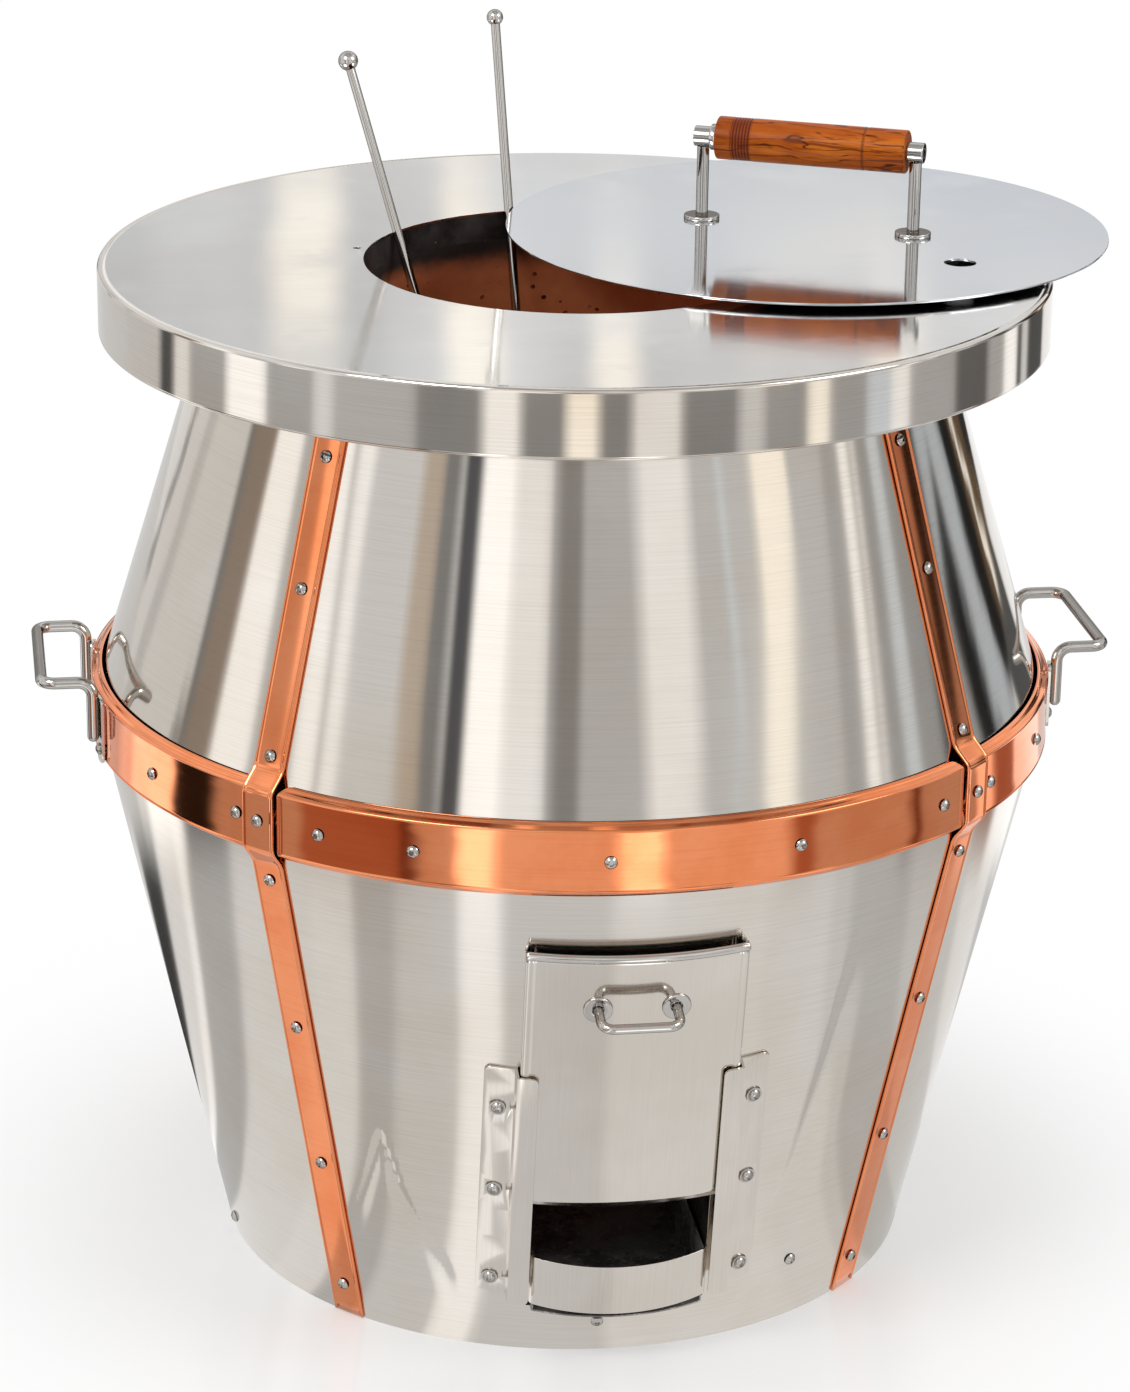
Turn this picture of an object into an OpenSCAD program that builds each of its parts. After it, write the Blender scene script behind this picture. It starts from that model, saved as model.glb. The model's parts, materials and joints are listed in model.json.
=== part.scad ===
// Charcoal tandoor: a clay pot in a waisted steel barrel, bound with a copper belt and straps.
// Millimetres, +Z up. The origin is the centre of the flat base, and the fire door faces -Y.
// Azimuths are degrees from the front, positive towards +X.

/* [Body] */
// Height of the deck's top face above the floor
body_h = 867; // [820:1:900]
// Outer radius of the lower shell at the floor
base_r = 302.5; // [290:0.5:320]
// Outer radius of the shells where they meet
waist_r = 411.8; // [400:0.2:420]
// Height of the joint between the shells
waist_z = 488.5; // [470:0.5:510]
// Outer radius of the upper shell under the deck
neck_r = 296.5; // [285:0.5:310]
// Thickness of the shell sheets
sheet_t = 2; // [1.5:0.1:2.5]
// Distance from the upper shell's top edge to the bore of the ring inside it
neck_flange_w = 25; // [15:1:35]

/* [Base] */
// Thickness of the base pan's sheet
pan_t = 3; // [2:0.5:4]
// Height of the base pan's upturned edge
pan_edge_h = 70; // [68:1:90]

/* [Deck] */
// Radius of the deck
deck_r = 400; // [390:1:410]
// Thickness of the deck sheet
deck_t = 2; // [1.5:0.1:3]
// Height of the deck's rim skirt
rim_h = 55.5; // [45:0.5:62]
// Width of the rim's return along its lower edge
rim_return_w = 12; // [8:1:16]
// Bend radius of the deck's edge
rim_bend_r = 3; // [2.5:0.1:5]
// Radius of the mouth
mouth_r = 178; // [170:1:184]
// Radius of the small hole beside the mouth
deck_hole_r = 3.5; // [2.5:0.1:5]
// Distance of the small hole from the mouth's centre
deck_hole_at_r = 187; // [184:1:192]
// Azimuth of the small hole
deck_hole_az = -107; // [-112:1:-100]

/* [Pot] */
// Drop from the deck's top face to the pot's rim
pot_drop = 25; // [20:1:35]
// Wall of the clay pot
pot_wall = 28; // [24:1:34]
// Inner radius of the pot at its belly
pot_belly_r = 236; // [225:1:245]
// Height of the pot's belly
pot_belly_z = 400; // [370:5:430]
// Inner radius of the pot at its foot
pot_foot_r = 206; // [198:1:215]
// Thickness of the collar that lines the mouth
collar_t = 2; // [1.5:0.1:3]
// Thickness of the fibre blanket round the pot
blanket_t = 42; // [30:1:50]

/* [Hearth] */
// Radius of the refractory hearth blocks
hearth_r = 262; // [255:1:270]
// Height of the hearth's top face
hearth_top_z = 120; // [116:1:126]
// Radius of the throat below the grate
throat_r = 112; // [105:1:118]
// Radius of the grate
grate_r = 130; // [124:1:136]
// Thickness of the grate
grate_t = 8; // [6:1:9]
// Distance from one grate bar to the next
grate_pitch = 22; // [20:1:26]
// Width of the slots between the grate bars
grate_slot_w = 11; // [9:1:12]

/* [Fire opening] */
// Width of the fire opening
fire_w = 150; // [140:1:154]
// Height of the fire opening's sill
fire_z0 = 46; // [44:1:50]
// Height of the fire opening's head
fire_z1 = 246; // [230:1:250]
// Thickness of the duct's sheet
duct_t = 1.5; // [1:0.1:2]
// Distance from the axis to the duct's inner end
duct_inner_y = 214; // [208:1:220]

/* [Fire door] */
// Width of the door
door_w = 180; // [176:1:184]
// Height of the door's lower edge at rest
door_z0 = 160; // [150:1:175]
// Height of the door's upper edge at rest
door_z1 = 407; // [395:1:420]
// Thickness of the door sheet
door_t = 1.5; // [1.2:0.1:2]
// Distance from the lower shell to the door's outer face
door_off = 12; // [11:0.5:14]
// Radius of the door's curve
door_curve_r = 372; // [360:1:390]
// Depth of the door's folded side edges
door_fold = 9; // [7:0.5:10]
// Radius of the bead along the door's upper edge
bead_r = 3.6; // [3:0.1:4.2]
// How far the bead stands behind the door's outer face at its centre
bead_set = 1.4; // [1:0.1:2]

/* [Door handle] */
// Radius of the door handle's rod
door_rod_r = 4; // [3.5:0.1:5]
// Distance between the door handle's feet
door_handle_w = 63.5; // [56:0.5:70]
// How far the door handle's bar stands off the door
door_handle_out = 26; // [22:1:30]
// Height of the door handle's feet
door_handle_z = 356; // [345:1:365]
// Bend radius of the door handle's corners
door_handle_bend = 10; // [8:0.5:11]
// Radius of the round washers at the handle's feet
rose_r = 12; // [10:0.5:14]
// Thickness of the round washers
rose_t = 2; // [1.5:0.1:3]
// Thickness of the nuts behind the door
door_nut_t = 4; // [3:0.5:5]
// Across-corner radius of the nuts behind the door
door_nut_r = 8; // [7:0.1:9]

/* [Door rails] */
// Height of the rails' lower end
rail_z0 = 57; // [52:1:60]
// Height of the rails' upper end
rail_z1 = 287; // [280:1:300]
// Width of a rail's flange on the shell
rail_flange_w = 24; // [22:1:28]
// Thickness of the rails
rail_t = 2; // [1.5:0.1:2.5]
// Gap between the door and the rails
door_gap = 1; // [0.8:0.1:1.5]
// Radius of the rails' rounded corners
rail_corner_r = 5; // [3:0.5:8]
// Heights of the rail screws
rail_screw_zs = [76, 168, 251];
// Width of the relief slots beside the rail screws
relief_w = 3; // [2:0.5:4]
// Height of the relief slots beside the rail screws
relief_h = 7; // [5:0.5:9]
// Radius of the washers under the rail screws
washer_r = 7; // [6.5:0.1:8]
// Thickness of the washers under the rail screws
washer_t = 1.2; // [1:0.1:1.6]

/* [Ash tray] */
// Height of the ash tray's front
tray_front_h = 50; // [44:1:52]
// Height of the ash tray's upper edge
tray_top_z = 104; // [100:1:108]
// How far the middle of the tray's front stands proud of the shell
tray_bow_out = 22; // [18:1:26]
// Radius of the curve of the tray's front
tray_bow_r = 150; // [140:1:180]
// Radius of the tray's rounded front corners
tray_corner_r = 8; // [6:0.5:10]
// How far the ends of the tray's front reach in behind the shell's front line
tray_cheek_y = 6; // [4:0.5:10]
// Thickness of the tray's sheet
tray_t = 1.5; // [1.2:0.1:2]
// Distance from the axis to the back of the ash pan
tray_back_y = 140; // [120:1:150]
// Clearance round the ash pan
tray_gap = 1.5; // [1:0.1:2]

/* [Belt] */
// Height of the belt
belt_h = 62; // [56:1:68]
// Thickness of the belt
belt_t = 2; // [1.5:0.1:2.5]
// Height of the belt's bevelled edges
belt_bevel_h = 5; // [4:0.5:7]
// How far the bevelled edges turn in
belt_bevel_in = 5; // [4:0.5:5.5]
// Radius of the rounded corners of the front and back belts
belt_corner_r = 8; // [5:0.5:10]

/* [Straps] */
// Width of the straps
strap_w = 31; // [28:0.5:34]
// Thickness of the straps
strap_t = 2.5; // [2:0.1:3]
// Length of the steps where a strap crosses the belt
strap_step = 9; // [7:0.5:12]
// Azimuths of the straps
strap_azs = [-45, 45, 135, -135];
// Gap between a strap and the front and back belts
strap_side_gap = 3; // [2:0.1:5]
// How far the side belts run in under the straps
belt_tuck = 9; // [6:0.5:12]
// Heights of the strap screws on the upper shell
strap_up_zs = [538, 668, 770];
// Heights of the strap screws on the lower shell
strap_low_zs = [32, 157, 292, 433];

/* [Screws] */
// Radius of the button heads
head_r = 5.25; // [4.8:0.05:5.6]
// Height of the button heads
head_h = 3.3; // [2.8:0.1:3.6]
// Radius of the screws' shanks
shank_r = 3; // [2.5:0.1:3.2]
// Length of the screws' shanks
shank_l = 14; // [12:1:18]
// Across-corner radius of the hexagonal sockets
socket_r = 2.3; // [2:0.1:2.6]
// Depth of the hexagonal sockets
socket_d = 2; // [1.5:0.1:2.5]
// Clearance round a shank in its hole
hole_gap = 0.25; // [0.15:0.05:0.4]
// Azimuths of the screws in the front and back belts, from their middles
belt_screw_azs = [-37, -25.5, -3.7, 18.1, 39];
// Azimuths of the screws in the side belts, from their middles
side_screw_azs = [-41.5, -26, 26, 41.5];
// Azimuths and heights of the base pan's screws
base_screws_at = [[-2.8, 30], [-79.5, 17], [29.5, 60], [90, 17], [150, 17], [-150, 17]];

/* [Side handles] */
// Radius of the side handles' rod
rod_r = 5; // [4.5:0.1:5.5]
// Distance between a side handle's legs
handle_w = 146; // [130:1:155]
// How far a side handle's bar stands out from its legs
handle_out = 42; // [38:1:50]
// Height of the legs' lower ends
leg_z0 = 483; // [480:1:486]
// Height of the handle's arms
arm_z = 531; // [529:1:538]
// Bend radius of the handle's corners
handle_bend = 12; // [10:0.5:14]
// Width of the plates that carry the handles
plate_w = 18; // [16:1:22]
// Height of the plates that carry the handles
plate_h = 58; // [54:1:60]
// Thickness of the plates that carry the handles
plate_t = 2.5; // [2:0.1:3]
// Radius of the plates' rounded corners
plate_corner_r = 6; // [3:0.5:7.5]
// Height of the handle screws
handle_screw_z = 471; // [469:0.5:472]

/* [Lid] */
// Radius of the lid
lid_r = 259; // [252:1:260]
// Thickness of the lid
lid_t = 2; // [1.5:0.1:3]
// Place of the lid's centre on the deck
lid_at = [211, 68];
// Height of the locating ring under the lid
ring_h = 4.5; // [4.5:0.5:7]
// Outer radius of the locating ring
ring_r = 150; // [142:1:154]
// Thickness of the locating ring
ring_t = 3; // [2:0.5:4]
// Radius of the vent hole
vent_r = 13.5; // [11:0.5:15]
// Place of the vent hole from the lid's centre
vent_at = [104, -135];

/* [Lid handle] */
// Direction of the lid handle
grip_dir = -25; // [-40:1:0]
// Distance between the lid handle's posts
post_w = 187; // [180:1:195]
// Radius of the posts
post_r = 5.3; // [4.5:0.1:6]
// Height of the grip's centre above the lid's top face
grip_h = 72; // [64:1:80]
// Radius of the round flanges under the posts
flange_r = 15.5; // [13:0.5:18]
// Thickness of the round flanges
flange_t = 3.5; // [3:0.5:5]
// Radius of the bosses at the top of the posts
boss_r = 8.8; // [8:0.1:9.5]
// Length of the bosses
boss_l = 14.5; // [13:0.5:17]
// Radius of the wooden grip
grip_r = 18.5; // [16:0.5:20]
// Radius of the axle through the grip
axle_r = 4; // [3.5:0.1:5]
// Radius of the ring between the left boss and the grip
spacer_r = 11.25; // [10:0.25:12.5]
// Length of the ring between the left boss and the grip
spacer_l = 6; // [5:0.5:8]
// Thickness of the nuts under the lid
lid_nut_t = 3.5; // [3:0.5:4]
// Across-corner radius of the nuts under the lid
lid_nut_r = 9.5; // [8:0.1:11]

/* [Skewers] */
// Length of a skewer from its tip to its ball's centre
skewer_l = 940; // [920:1:960]
// Radius of a skewer's rod
skewer_r = 4; // [3.5:0.1:4.2]
// Length of a skewer's point
point_l = 18; // [14:1:24]
// Radius at the very tip
point_r = 1.2; // [1:0.1:1.5]
// Azimuths where the skewers lean on the mouth
skewer_azs = [233.3, 191.3];
// How far the skewers lean from the vertical
skewer_leans = [18.76, 14.5];
// Radii of the skewers' balls
ball_rs = [8.5, 7.2];

/* [Hidden] */
$fn = 96;

// Gap between pieces that lie on each other along a curve
fit_gap = 0.2;
// Running clearance of the grip on its axle
run_gap = 0.06;
// Gap between pieces of different moving groups where they rest on each other
rest_gap = 0.3;
// Length that a cutter runs past the faces it cuts
past = 1;
// Length of a cutter that runs past the whole barrel
big = 2 * deck_r;

deck_under = body_h - deck_t;
rim_z0 = body_h - rim_h;
rim_z1 = body_h - rim_bend_r;
belt_in_r = waist_r + fit_gap;
belt_out_r = belt_in_r + belt_t;
belt_z0 = waist_z - belt_h / 2;
belt_z1 = waist_z + belt_h / 2;
low_tilt = atan((waist_r - base_r) / waist_z);
up_tilt = atan((waist_r - neck_r) / (deck_under - waist_z));
pot_rim_z = body_h - pot_drop;
fire_x = fire_w / 2;
rail_x0 = fire_x + door_gap;
rail_x1 = door_w / 2 + door_gap;
rail_x2 = rail_x1 + rail_t + rail_flange_w;
rail_screw_x = rail_x1 + rail_t + rail_flange_w / 2;
lid_z = body_h + ring_h;
grip_x0 = -post_w / 2 + boss_l / 2 + spacer_l + fit_gap;
grip_x1 = post_w / 2 - boss_l / 2 - fit_gap;
grate_z0 = hearth_top_z - grate_t;
// Distance from the lower shell to the seat of the washers on a rail's flange
flange_face = rail_t + 2 * fit_gap;
leg_r = belt_out_r + fit_gap + plate_t + rod_r + fit_gap / 2;
leg_az = asin(handle_w / 2 / leg_r);
leg_y = leg_r * cos(leg_az);

// Outer radius of the lower shell at height z
function low_r(z) = base_r + (waist_r - base_r) * z / waist_z;
// Outer radius of the upper shell at height z
function up_r(z) = waist_r - (waist_r - neck_r) * (z - waist_z) / (deck_under - waist_z);
// Distance up the lower shell's slope to height z
function low_s(z) = z / cos(low_tilt);
// Azimuth of a point x to the right of the front line, on the lower shell at height z
function low_az(x, z) = asin(x / low_r(z));
// Angle that a length takes on the belt
function belt_deg(length) = length / belt_out_r * 180 / PI;
// Points of an arc about c from angle a0 to a1
function arc(c, r, a0, a1, n) = [
  for (i = [0:n]) let (a = a0 + (a1 - a0) * i / n) c + r * [cos(a), sin(a)]
];
// Inner radius of the clay pot at height z, a bulge from its foot over its belly to its rim
function pot_in_r(z) = z < pot_belly_z
  ? pot_belly_r - (pot_belly_r - pot_foot_r) * pow((pot_belly_z - z) / (pot_belly_z - hearth_top_z), 2)
  : pot_belly_r - (pot_belly_r - mouth_r) * pow((z - pot_belly_z) / (pot_rim_z - pot_belly_z), 2);
// Steps in the height of the pot's profile
pot_steps = 14;
function pot_z(i) = hearth_top_z + (pot_rim_z - hearth_top_z) * i / pot_steps;
function pot_side(off) = [for (i = [0:pot_steps]) [pot_in_r(pot_z(i)) + off, pot_z(i)]];
function reversed(list) = [for (i = [len(list) - 1:-1:0]) list[i]];

// Frames whose -Y axis is the surface's outward normal
module on_low(az, z) {
  rotate([0, 0, az])
    translate([0, -low_r(z), z])
      rotate([low_tilt, 0, 0])
        children();
}
module on_up(az, z) {
  rotate([0, 0, az])
    translate([0, -up_r(z), z])
      rotate([-up_tilt, 0, 0])
        children();
}
module on_belt(az, z, r = belt_out_r) {
  rotate([0, 0, az])
    translate([0, -r, z])
      children();
}
// Frame of the fire door: the origin is at the floor on the front line, and Z runs up the slope
module on_front() {
  translate([0, -base_r, 0])
    rotate([low_tilt, 0, 0])
      children();
}

// Button-head screw whose head stands out along -Y from a seat at the origin
module screw(seat = 0) {
  dome_r = (head_r * head_r + head_h * head_h) / (2 * head_h);
  rotate([90, 0, 0])
    translate([0, 0, seat]) {
      difference() {
        intersection() {
          translate([0, 0, head_h - dome_r])
            sphere(dome_r);
          cylinder(r = head_r, h = head_h);
        }
        translate([0, 0, head_h - socket_d])
          cylinder(r = socket_r, h = socket_d + past, $fn = 6);
      }
      translate([0, 0, -shank_l])
        cylinder(r = shank_r, h = shank_l + past / 2);
    }
}
// Cutter for a screw's hole
module screw_hole() {
  rotate([90, 0, 0])
    translate([0, 0, -shank_l])
      cylinder(r = shank_r + hole_gap, h = 2 * shank_l);
}
// Cutters for the notches in the shells' edges round the screws at the waist
module waist_notches() {
  side = 2 * (shank_r + hole_gap);
  at_belt_screws()
    cube([side, 2 * shank_l, side], center = true);
  at_belt_screws(side = true)
    cube([side, 2 * shank_l, side], center = true);
  for (az = strap_azs)
    at_strap_mid_screw(az)
      cube([side, 2 * shank_l, side], center = true);
}
// Places children at every strap screw of the strap at azimuth az
module at_strap_screws(az) {
  for (z = strap_up_zs)
    on_up(az, z)
      children();
  for (z = strap_low_zs)
    on_low(az, z)
      children();
}
module at_strap_mid_screw(az) {
  on_belt(az, waist_z)
    children();
}
module at_belt_screws(side = false) {
  middles = side ? [90, 270] : [0, 180];
  for (m = middles)
    for (a = side ? side_screw_azs : belt_screw_azs)
      on_belt(m + a, waist_z)
        children();
}
module at_rail_screws(side) {
  for (z = rail_screw_zs)
    on_low(side * low_az(rail_screw_x, z), z)
      children();
}
module at_base_screws() {
  for (s = base_screws_at)
    on_low(s[0], s[1])
      children();
}
module at_handle_screws() {
  for (side = [-90, 90])
    for (leg = [-1, 1])
      on_belt(side + leg * leg_az, handle_screw_z)
        children();
}

// Solid bounded by a surface that lies off millimetres outside the lower shell
module low_solid(off) {
  cylinder(r1 = base_r + off / cos(low_tilt), r2 = waist_r + off / cos(low_tilt), h = waist_z);
}

// Body

// Outer radius of the base pan's edge at height z
function pan_r(z) = low_r(z) - sheet_t / cos(low_tilt) - fit_gap;
module base_pan() {
  top = pan_edge_h + past;
  color("silver")
    difference() {
      cylinder(r1 = pan_r(0), r2 = pan_r(pan_edge_h), h = pan_edge_h);
      translate([0, 0, pan_t])
        cylinder(r1 = pan_r(pan_t) - sheet_t, r2 = pan_r(top) - sheet_t, h = top - pan_t);
      at_base_screws()
        screw_hole();
      for (az = strap_azs)
        at_strap_low_holes(az);
      duct_room(fit_gap);
    }
}

module lower_shell() {
  color("gainsboro")
    difference() {
      cylinder(r1 = base_r, r2 = waist_r, h = waist_z);
      translate([0, 0, -past])
        cylinder(
          r1 = low_r(-past) - sheet_t / cos(low_tilt),
          r2 = low_r(waist_z + past) - sheet_t / cos(low_tilt),
          h = waist_z + 2 * past
        );
      translate([-fire_x, -big, fire_z0])
        cube([fire_w, big, fire_z1 - fire_z0]);
      for (az = strap_azs)
        at_strap_low_holes(az);
      at_rail_screws(-1)
        screw_hole();
      at_rail_screws(1)
        screw_hole();
      at_base_screws()
        screw_hole();
      at_handle_screws()
        screw_hole();
      waist_notches();
    }
}
module at_strap_low_holes(az) {
  for (z = strap_low_zs)
    on_low(az, z)
      screw_hole();
}

module upper_shell() {
  color("gainsboro")
    difference() {
      translate([0, 0, waist_z])
        cylinder(r1 = waist_r, r2 = neck_r, h = deck_under - waist_z);
      translate([0, 0, waist_z - past])
        cylinder(
          r1 = up_r(waist_z - past) - sheet_t / cos(up_tilt),
          r2 = up_r(deck_under + past) - sheet_t / cos(up_tilt),
          h = deck_under - waist_z + 2 * past
        );
      for (az = strap_azs)
        for (z = strap_up_zs)
          on_up(az, z)
            screw_hole();
      waist_notches();
    }
}

// Ring inside the top of the upper shell, under the deck
module neck_ring() {
  color("gainsboro")
    translate([0, 0, deck_under - sheet_t])
      difference() {
        cylinder(r = neck_r - sheet_t / cos(up_tilt) - fit_gap, h = sheet_t);
        translate([0, 0, -past])
          cylinder(r = neck_r - neck_flange_w, h = sheet_t + 2 * past);
      }
}

// Profile of a bent sheet disc and skirt, off millimetres inside the outer surface
module deck_profile(off) {
  r = rim_bend_r - off;
  square([deck_r - rim_bend_r, body_h - off]);
  square([deck_r - off, body_h - rim_bend_r]);
  translate([deck_r - rim_bend_r, body_h - rim_bend_r])
    circle(r);
}
// Section of the deck's sheet and its skirt, with the return at the skirt's lower edge
module deck_section() {
  difference() {
    deck_profile(0);
    difference() {
      deck_profile(deck_t);
      translate([deck_r - rim_return_w, 0])
        square([rim_return_w, rim_z0 + deck_t]);
    }
    square([mouth_r, body_h + past]);
    translate([0, -past])
      square([deck_r + past, rim_z0 + past]);
  }
}

module top_deck() {
  color("silver")
    difference() {
      rotate_extrude()
        difference() {
          deck_section();
          square([deck_r + past, rim_z1]);
        }
      rotate([0, 0, deck_hole_az])
        translate([0, -deck_hole_at_r, deck_under - past])
          cylinder(r = deck_hole_r, h = deck_t + 2 * past);
    }
}

module deck_rim() {
  color("silver")
    rotate_extrude()
      intersection() {
        deck_section();
        square([deck_r + past, rim_z1]);
      }
}

module mouth_collar() {
  color("#1c1a19")
    rotate_extrude() {
      translate([mouth_r + fit_gap, pot_rim_z])
        square([collar_t, deck_under - pot_rim_z]);
      translate([mouth_r + fit_gap, pot_rim_z])
        square([pot_wall - 2 * fit_gap, collar_t]);
    }
}

module clay_pot() {
  color("#9a4a2c")
    difference() {
      rotate_extrude()
        polygon(concat(pot_side(0), reversed(pot_side(pot_wall))));
      duct_room(fit_gap);
      translate([-fire_x, -big, fire_z0])
        cube([fire_w, big - throat_r, fire_z1 - fire_z0]);
    }
}

module fibre_blanket() {
  inner = pot_side(pot_wall + fit_gap);
  outer = pot_side(pot_wall + blanket_t);
  color("#e4dccb")
    difference() {
      rotate_extrude()
        polygon(concat(inner, reversed(outer)));
      translate([0, 0, hearth_top_z - past])
        cylinder(r = hearth_r + blanket_t, h = past + fit_gap);
      translate([0, 0, pot_rim_z - blanket_t / 2])
        cylinder(r = big, h = blanket_t);
      duct_room(2 * fit_gap);
    }
}

// Room for the fire duct, gap millimetres larger all round
module duct_room(gap) {
  translate([-fire_x - duct_t - gap, -big, fire_z0 - duct_t - gap])
    cube([fire_w + 2 * (duct_t + gap), big - duct_inner_y + gap, fire_z1 - fire_z0 + 2 * (duct_t + gap)]);
}

// Round slab of the hearth between two heights, with the fire duct's room cut out
module hearth_slab(z0, z1) {
  difference() {
    translate([0, 0, z0])
      cylinder(r = hearth_r, h = z1 - z0);
    duct_room(fit_gap);
  }
}

module hearth_floor() {
  color("#c9b79a")
    hearth_slab(pan_t, fire_z0);
}

// Block beside the ash pan, the left one as seen from the front
module hearth_side() {
  color("#c9b79a")
    difference() {
      hearth_slab(fire_z0, tray_top_z);
      translate([-fire_x, -big, fire_z0 - past])
        cube([2 * big, 2 * big, tray_top_z - fire_z0 + 2 * past]);
    }
}

module hearth_left() {
  hearth_side();
}

module hearth_right() {
  mirror([1, 0, 0])
    hearth_side();
}

module hearth_back() {
  color("#c9b79a")
    intersection() {
      hearth_slab(fire_z0, tray_top_z);
      translate([-fire_x, tray_back_y + 2 * tray_gap, fire_z0])
        cube([fire_w, big, tray_top_z - fire_z0]);
    }
}

module hearth_cap() {
  color("#c9b79a")
    difference() {
      hearth_slab(tray_top_z, hearth_top_z);
      translate([0, 0, tray_top_z - past])
        cylinder(r = throat_r, h = hearth_top_z);
      translate([0, 0, grate_z0])
        cylinder(r = grate_r + past, h = grate_t + past);
    }
}

module fire_grate() {
  half = grate_r - 2 * grate_t;
  bars = floor(half / grate_pitch);
  color("#2b2b2b")
    translate([0, 0, grate_z0])
      difference() {
        cylinder(r = grate_r, h = grate_t);
        intersection() {
          translate([0, 0, -past])
            cylinder(r = half, h = grate_t + 2 * past);
          for (i = [-bars - 1:bars])
            translate([(i + 0.5) * grate_pitch - grate_slot_w / 2, -big, -past])
              cube([grate_slot_w, 2 * big, grate_t + 2 * past]);
        }
      }
}

module fire_duct() {
  color("#161514")
    difference() {
      intersection() {
        translate([-fire_x - duct_t, -big, fire_z0 - duct_t])
          cube([fire_w + 2 * duct_t, big - duct_inner_y, fire_z1 - fire_z0 + 2 * duct_t]);
        low_solid(-sheet_t - fit_gap);
      }
      translate([-fire_x, -big, fire_z0])
        cube([fire_w, big, fire_z1 - fire_z0]);
    }
}

// Belt

module belt_profile() {
  flat = belt_h / 2 - belt_bevel_h;
  polygon([
    [belt_out_r - belt_bevel_in, -belt_h / 2],
    [belt_out_r, -flat],
    [belt_out_r, flat],
    [belt_out_r - belt_bevel_in, belt_h / 2],
    [belt_in_r - belt_bevel_in, belt_h / 2],
    [belt_in_r, flat],
    [belt_in_r, -flat],
    [belt_in_r - belt_bevel_in, -belt_h / 2]
  ]);
}
// Cutter that rounds one end corner of a belt, with the belt's end at azimuth 0 running to +X
module corner_cutter(up) {
  r = belt_corner_r;
  translate([0, 0, up * (belt_h / 2 - r)])
    rotate([90, 0, 0])
      difference() {
        translate([-past, up > 0 ? 0 : -r - past, 0])
          cube([r + past, r + past, big]);
        translate([r, 0, -past])
          cylinder(r = r, h = big + 2 * past);
      }
}
module belt_part(middle, half, rounded) {
  rotate([0, 0, middle])
    translate([0, 0, waist_z])
      difference() {
        rotate([0, 0, -90 - half])
          rotate_extrude(angle = 2 * half)
            belt_profile();
        if (rounded)
          for (side = [-1, 1])
            for (up = [-1, 1])
              rotate([0, 0, side * half])
                facing(side)
                  corner_cutter(up);
        for (a = rounded ? belt_screw_azs : side_screw_azs)
          rotate([0, 0, a])
            translate([0, -belt_out_r, 0])
              screw_hole();
        if (!rounded)
          for (leg = [-1, 1])
            rotate([0, 0, leg * leg_az])
              translate([0, -belt_out_r, handle_screw_z - waist_z])
                screw_hole();
      }
}
// Mirrors a cutter made for a left end where it is used at a right end
module facing(side) {
  if (side < 0)
    children();
  else
    mirror([1, 0, 0])
      children();
}
short_half = 45 - belt_deg(strap_w / 2 + strap_side_gap);
long_half = 45 + belt_deg(belt_tuck - strap_w / 2);
module belt_front() {
  color("#c9713f")
    belt_part(0, short_half, true);
}
module belt_back() {
  color("#c9713f")
    belt_part(180, short_half, true);
}
module belt_right() {
  color("#c9713f")
    belt_part(90, long_half, false);
}
module belt_left() {
  color("#c9713f")
    belt_part(-90, long_half, false);
}

// Straps

// Inner line of a strap from under the deck to the floor
strap_line = [
  [up_r(deck_under - past) + fit_gap, deck_under - past],
  [up_r(belt_z1 + strap_step) + fit_gap, belt_z1 + strap_step],
  [belt_out_r + fit_gap, belt_z1 - belt_bevel_h],
  [belt_out_r + fit_gap, belt_z0 + belt_bevel_h],
  [low_r(belt_z0 - strap_step) + fit_gap, belt_z0 - strap_step],
  [low_r(past) + fit_gap, past]
];
module strap(az) {
  color("#d07a48")
    difference() {
      intersection() {
        rotate_extrude()
          polygon(concat(strap_line, [for (p = reversed(strap_line)) p + [strap_t, 0]]));
        rotate([0, 0, az])
          translate([-strap_w / 2, -big, -past])
            cube([strap_w, big, body_h]);
      }
      at_strap_screws(az)
        screw_hole();
      at_strap_mid_screw(az)
        screw_hole();
    }
}
module strap_front_left() {
  strap(strap_azs[0]);
}
module strap_front_right() {
  strap(strap_azs[1]);
}
module strap_back_right() {
  strap(strap_azs[2]);
}
module strap_back_left() {
  strap(strap_azs[3]);
}

// Screws

module strap_screws() {
  color("lightgray")
    for (az = strap_azs) {
      at_strap_screws(az)
        screw(strap_t + 2 * fit_gap);
      at_strap_mid_screw(az)
        screw(strap_t + 2 * fit_gap);
    }
}
module belt_screws() {
  color("lightgray") {
    at_belt_screws()
      screw(fit_gap / 2);
    at_belt_screws(side = true)
      screw(fit_gap / 2);
  }
}
module base_screws() {
  color("lightgray")
    at_base_screws()
      screw(fit_gap);
}
module handle_screws() {
  color("lightgray")
    at_handle_screws()
      screw(plate_t + 2 * fit_gap);
}

// Fire door's rails

// Arc of a sheet that runs across the front, its outer face off millimetres before the shell
module sheet_arc(off, t, x0, x1) {
  intersection() {
    translate([0, door_curve_r - off])
      difference() {
        circle(door_curve_r);
        circle(door_curve_r - t);
      }
    translate([x0, -2 * off])
      square([x1 - x0, door_curve_r / 2]);
  }
}
// Plan of the right rail's lip and step in the door's frame
module rail_plan() {
  lip_off = door_off + door_gap + rail_t;
  sheet_arc(lip_off, rail_t, rail_x0, rail_x1 + rail_t);
  intersection() {
    translate([0, door_curve_r - lip_off])
      difference() {
        circle(door_curve_r);
        circle(door_curve_r - lip_off - rail_t);
      }
    translate([rail_x1, -2 * lip_off])
      square([rail_t, door_curve_r / 2]);
  }
}
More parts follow.
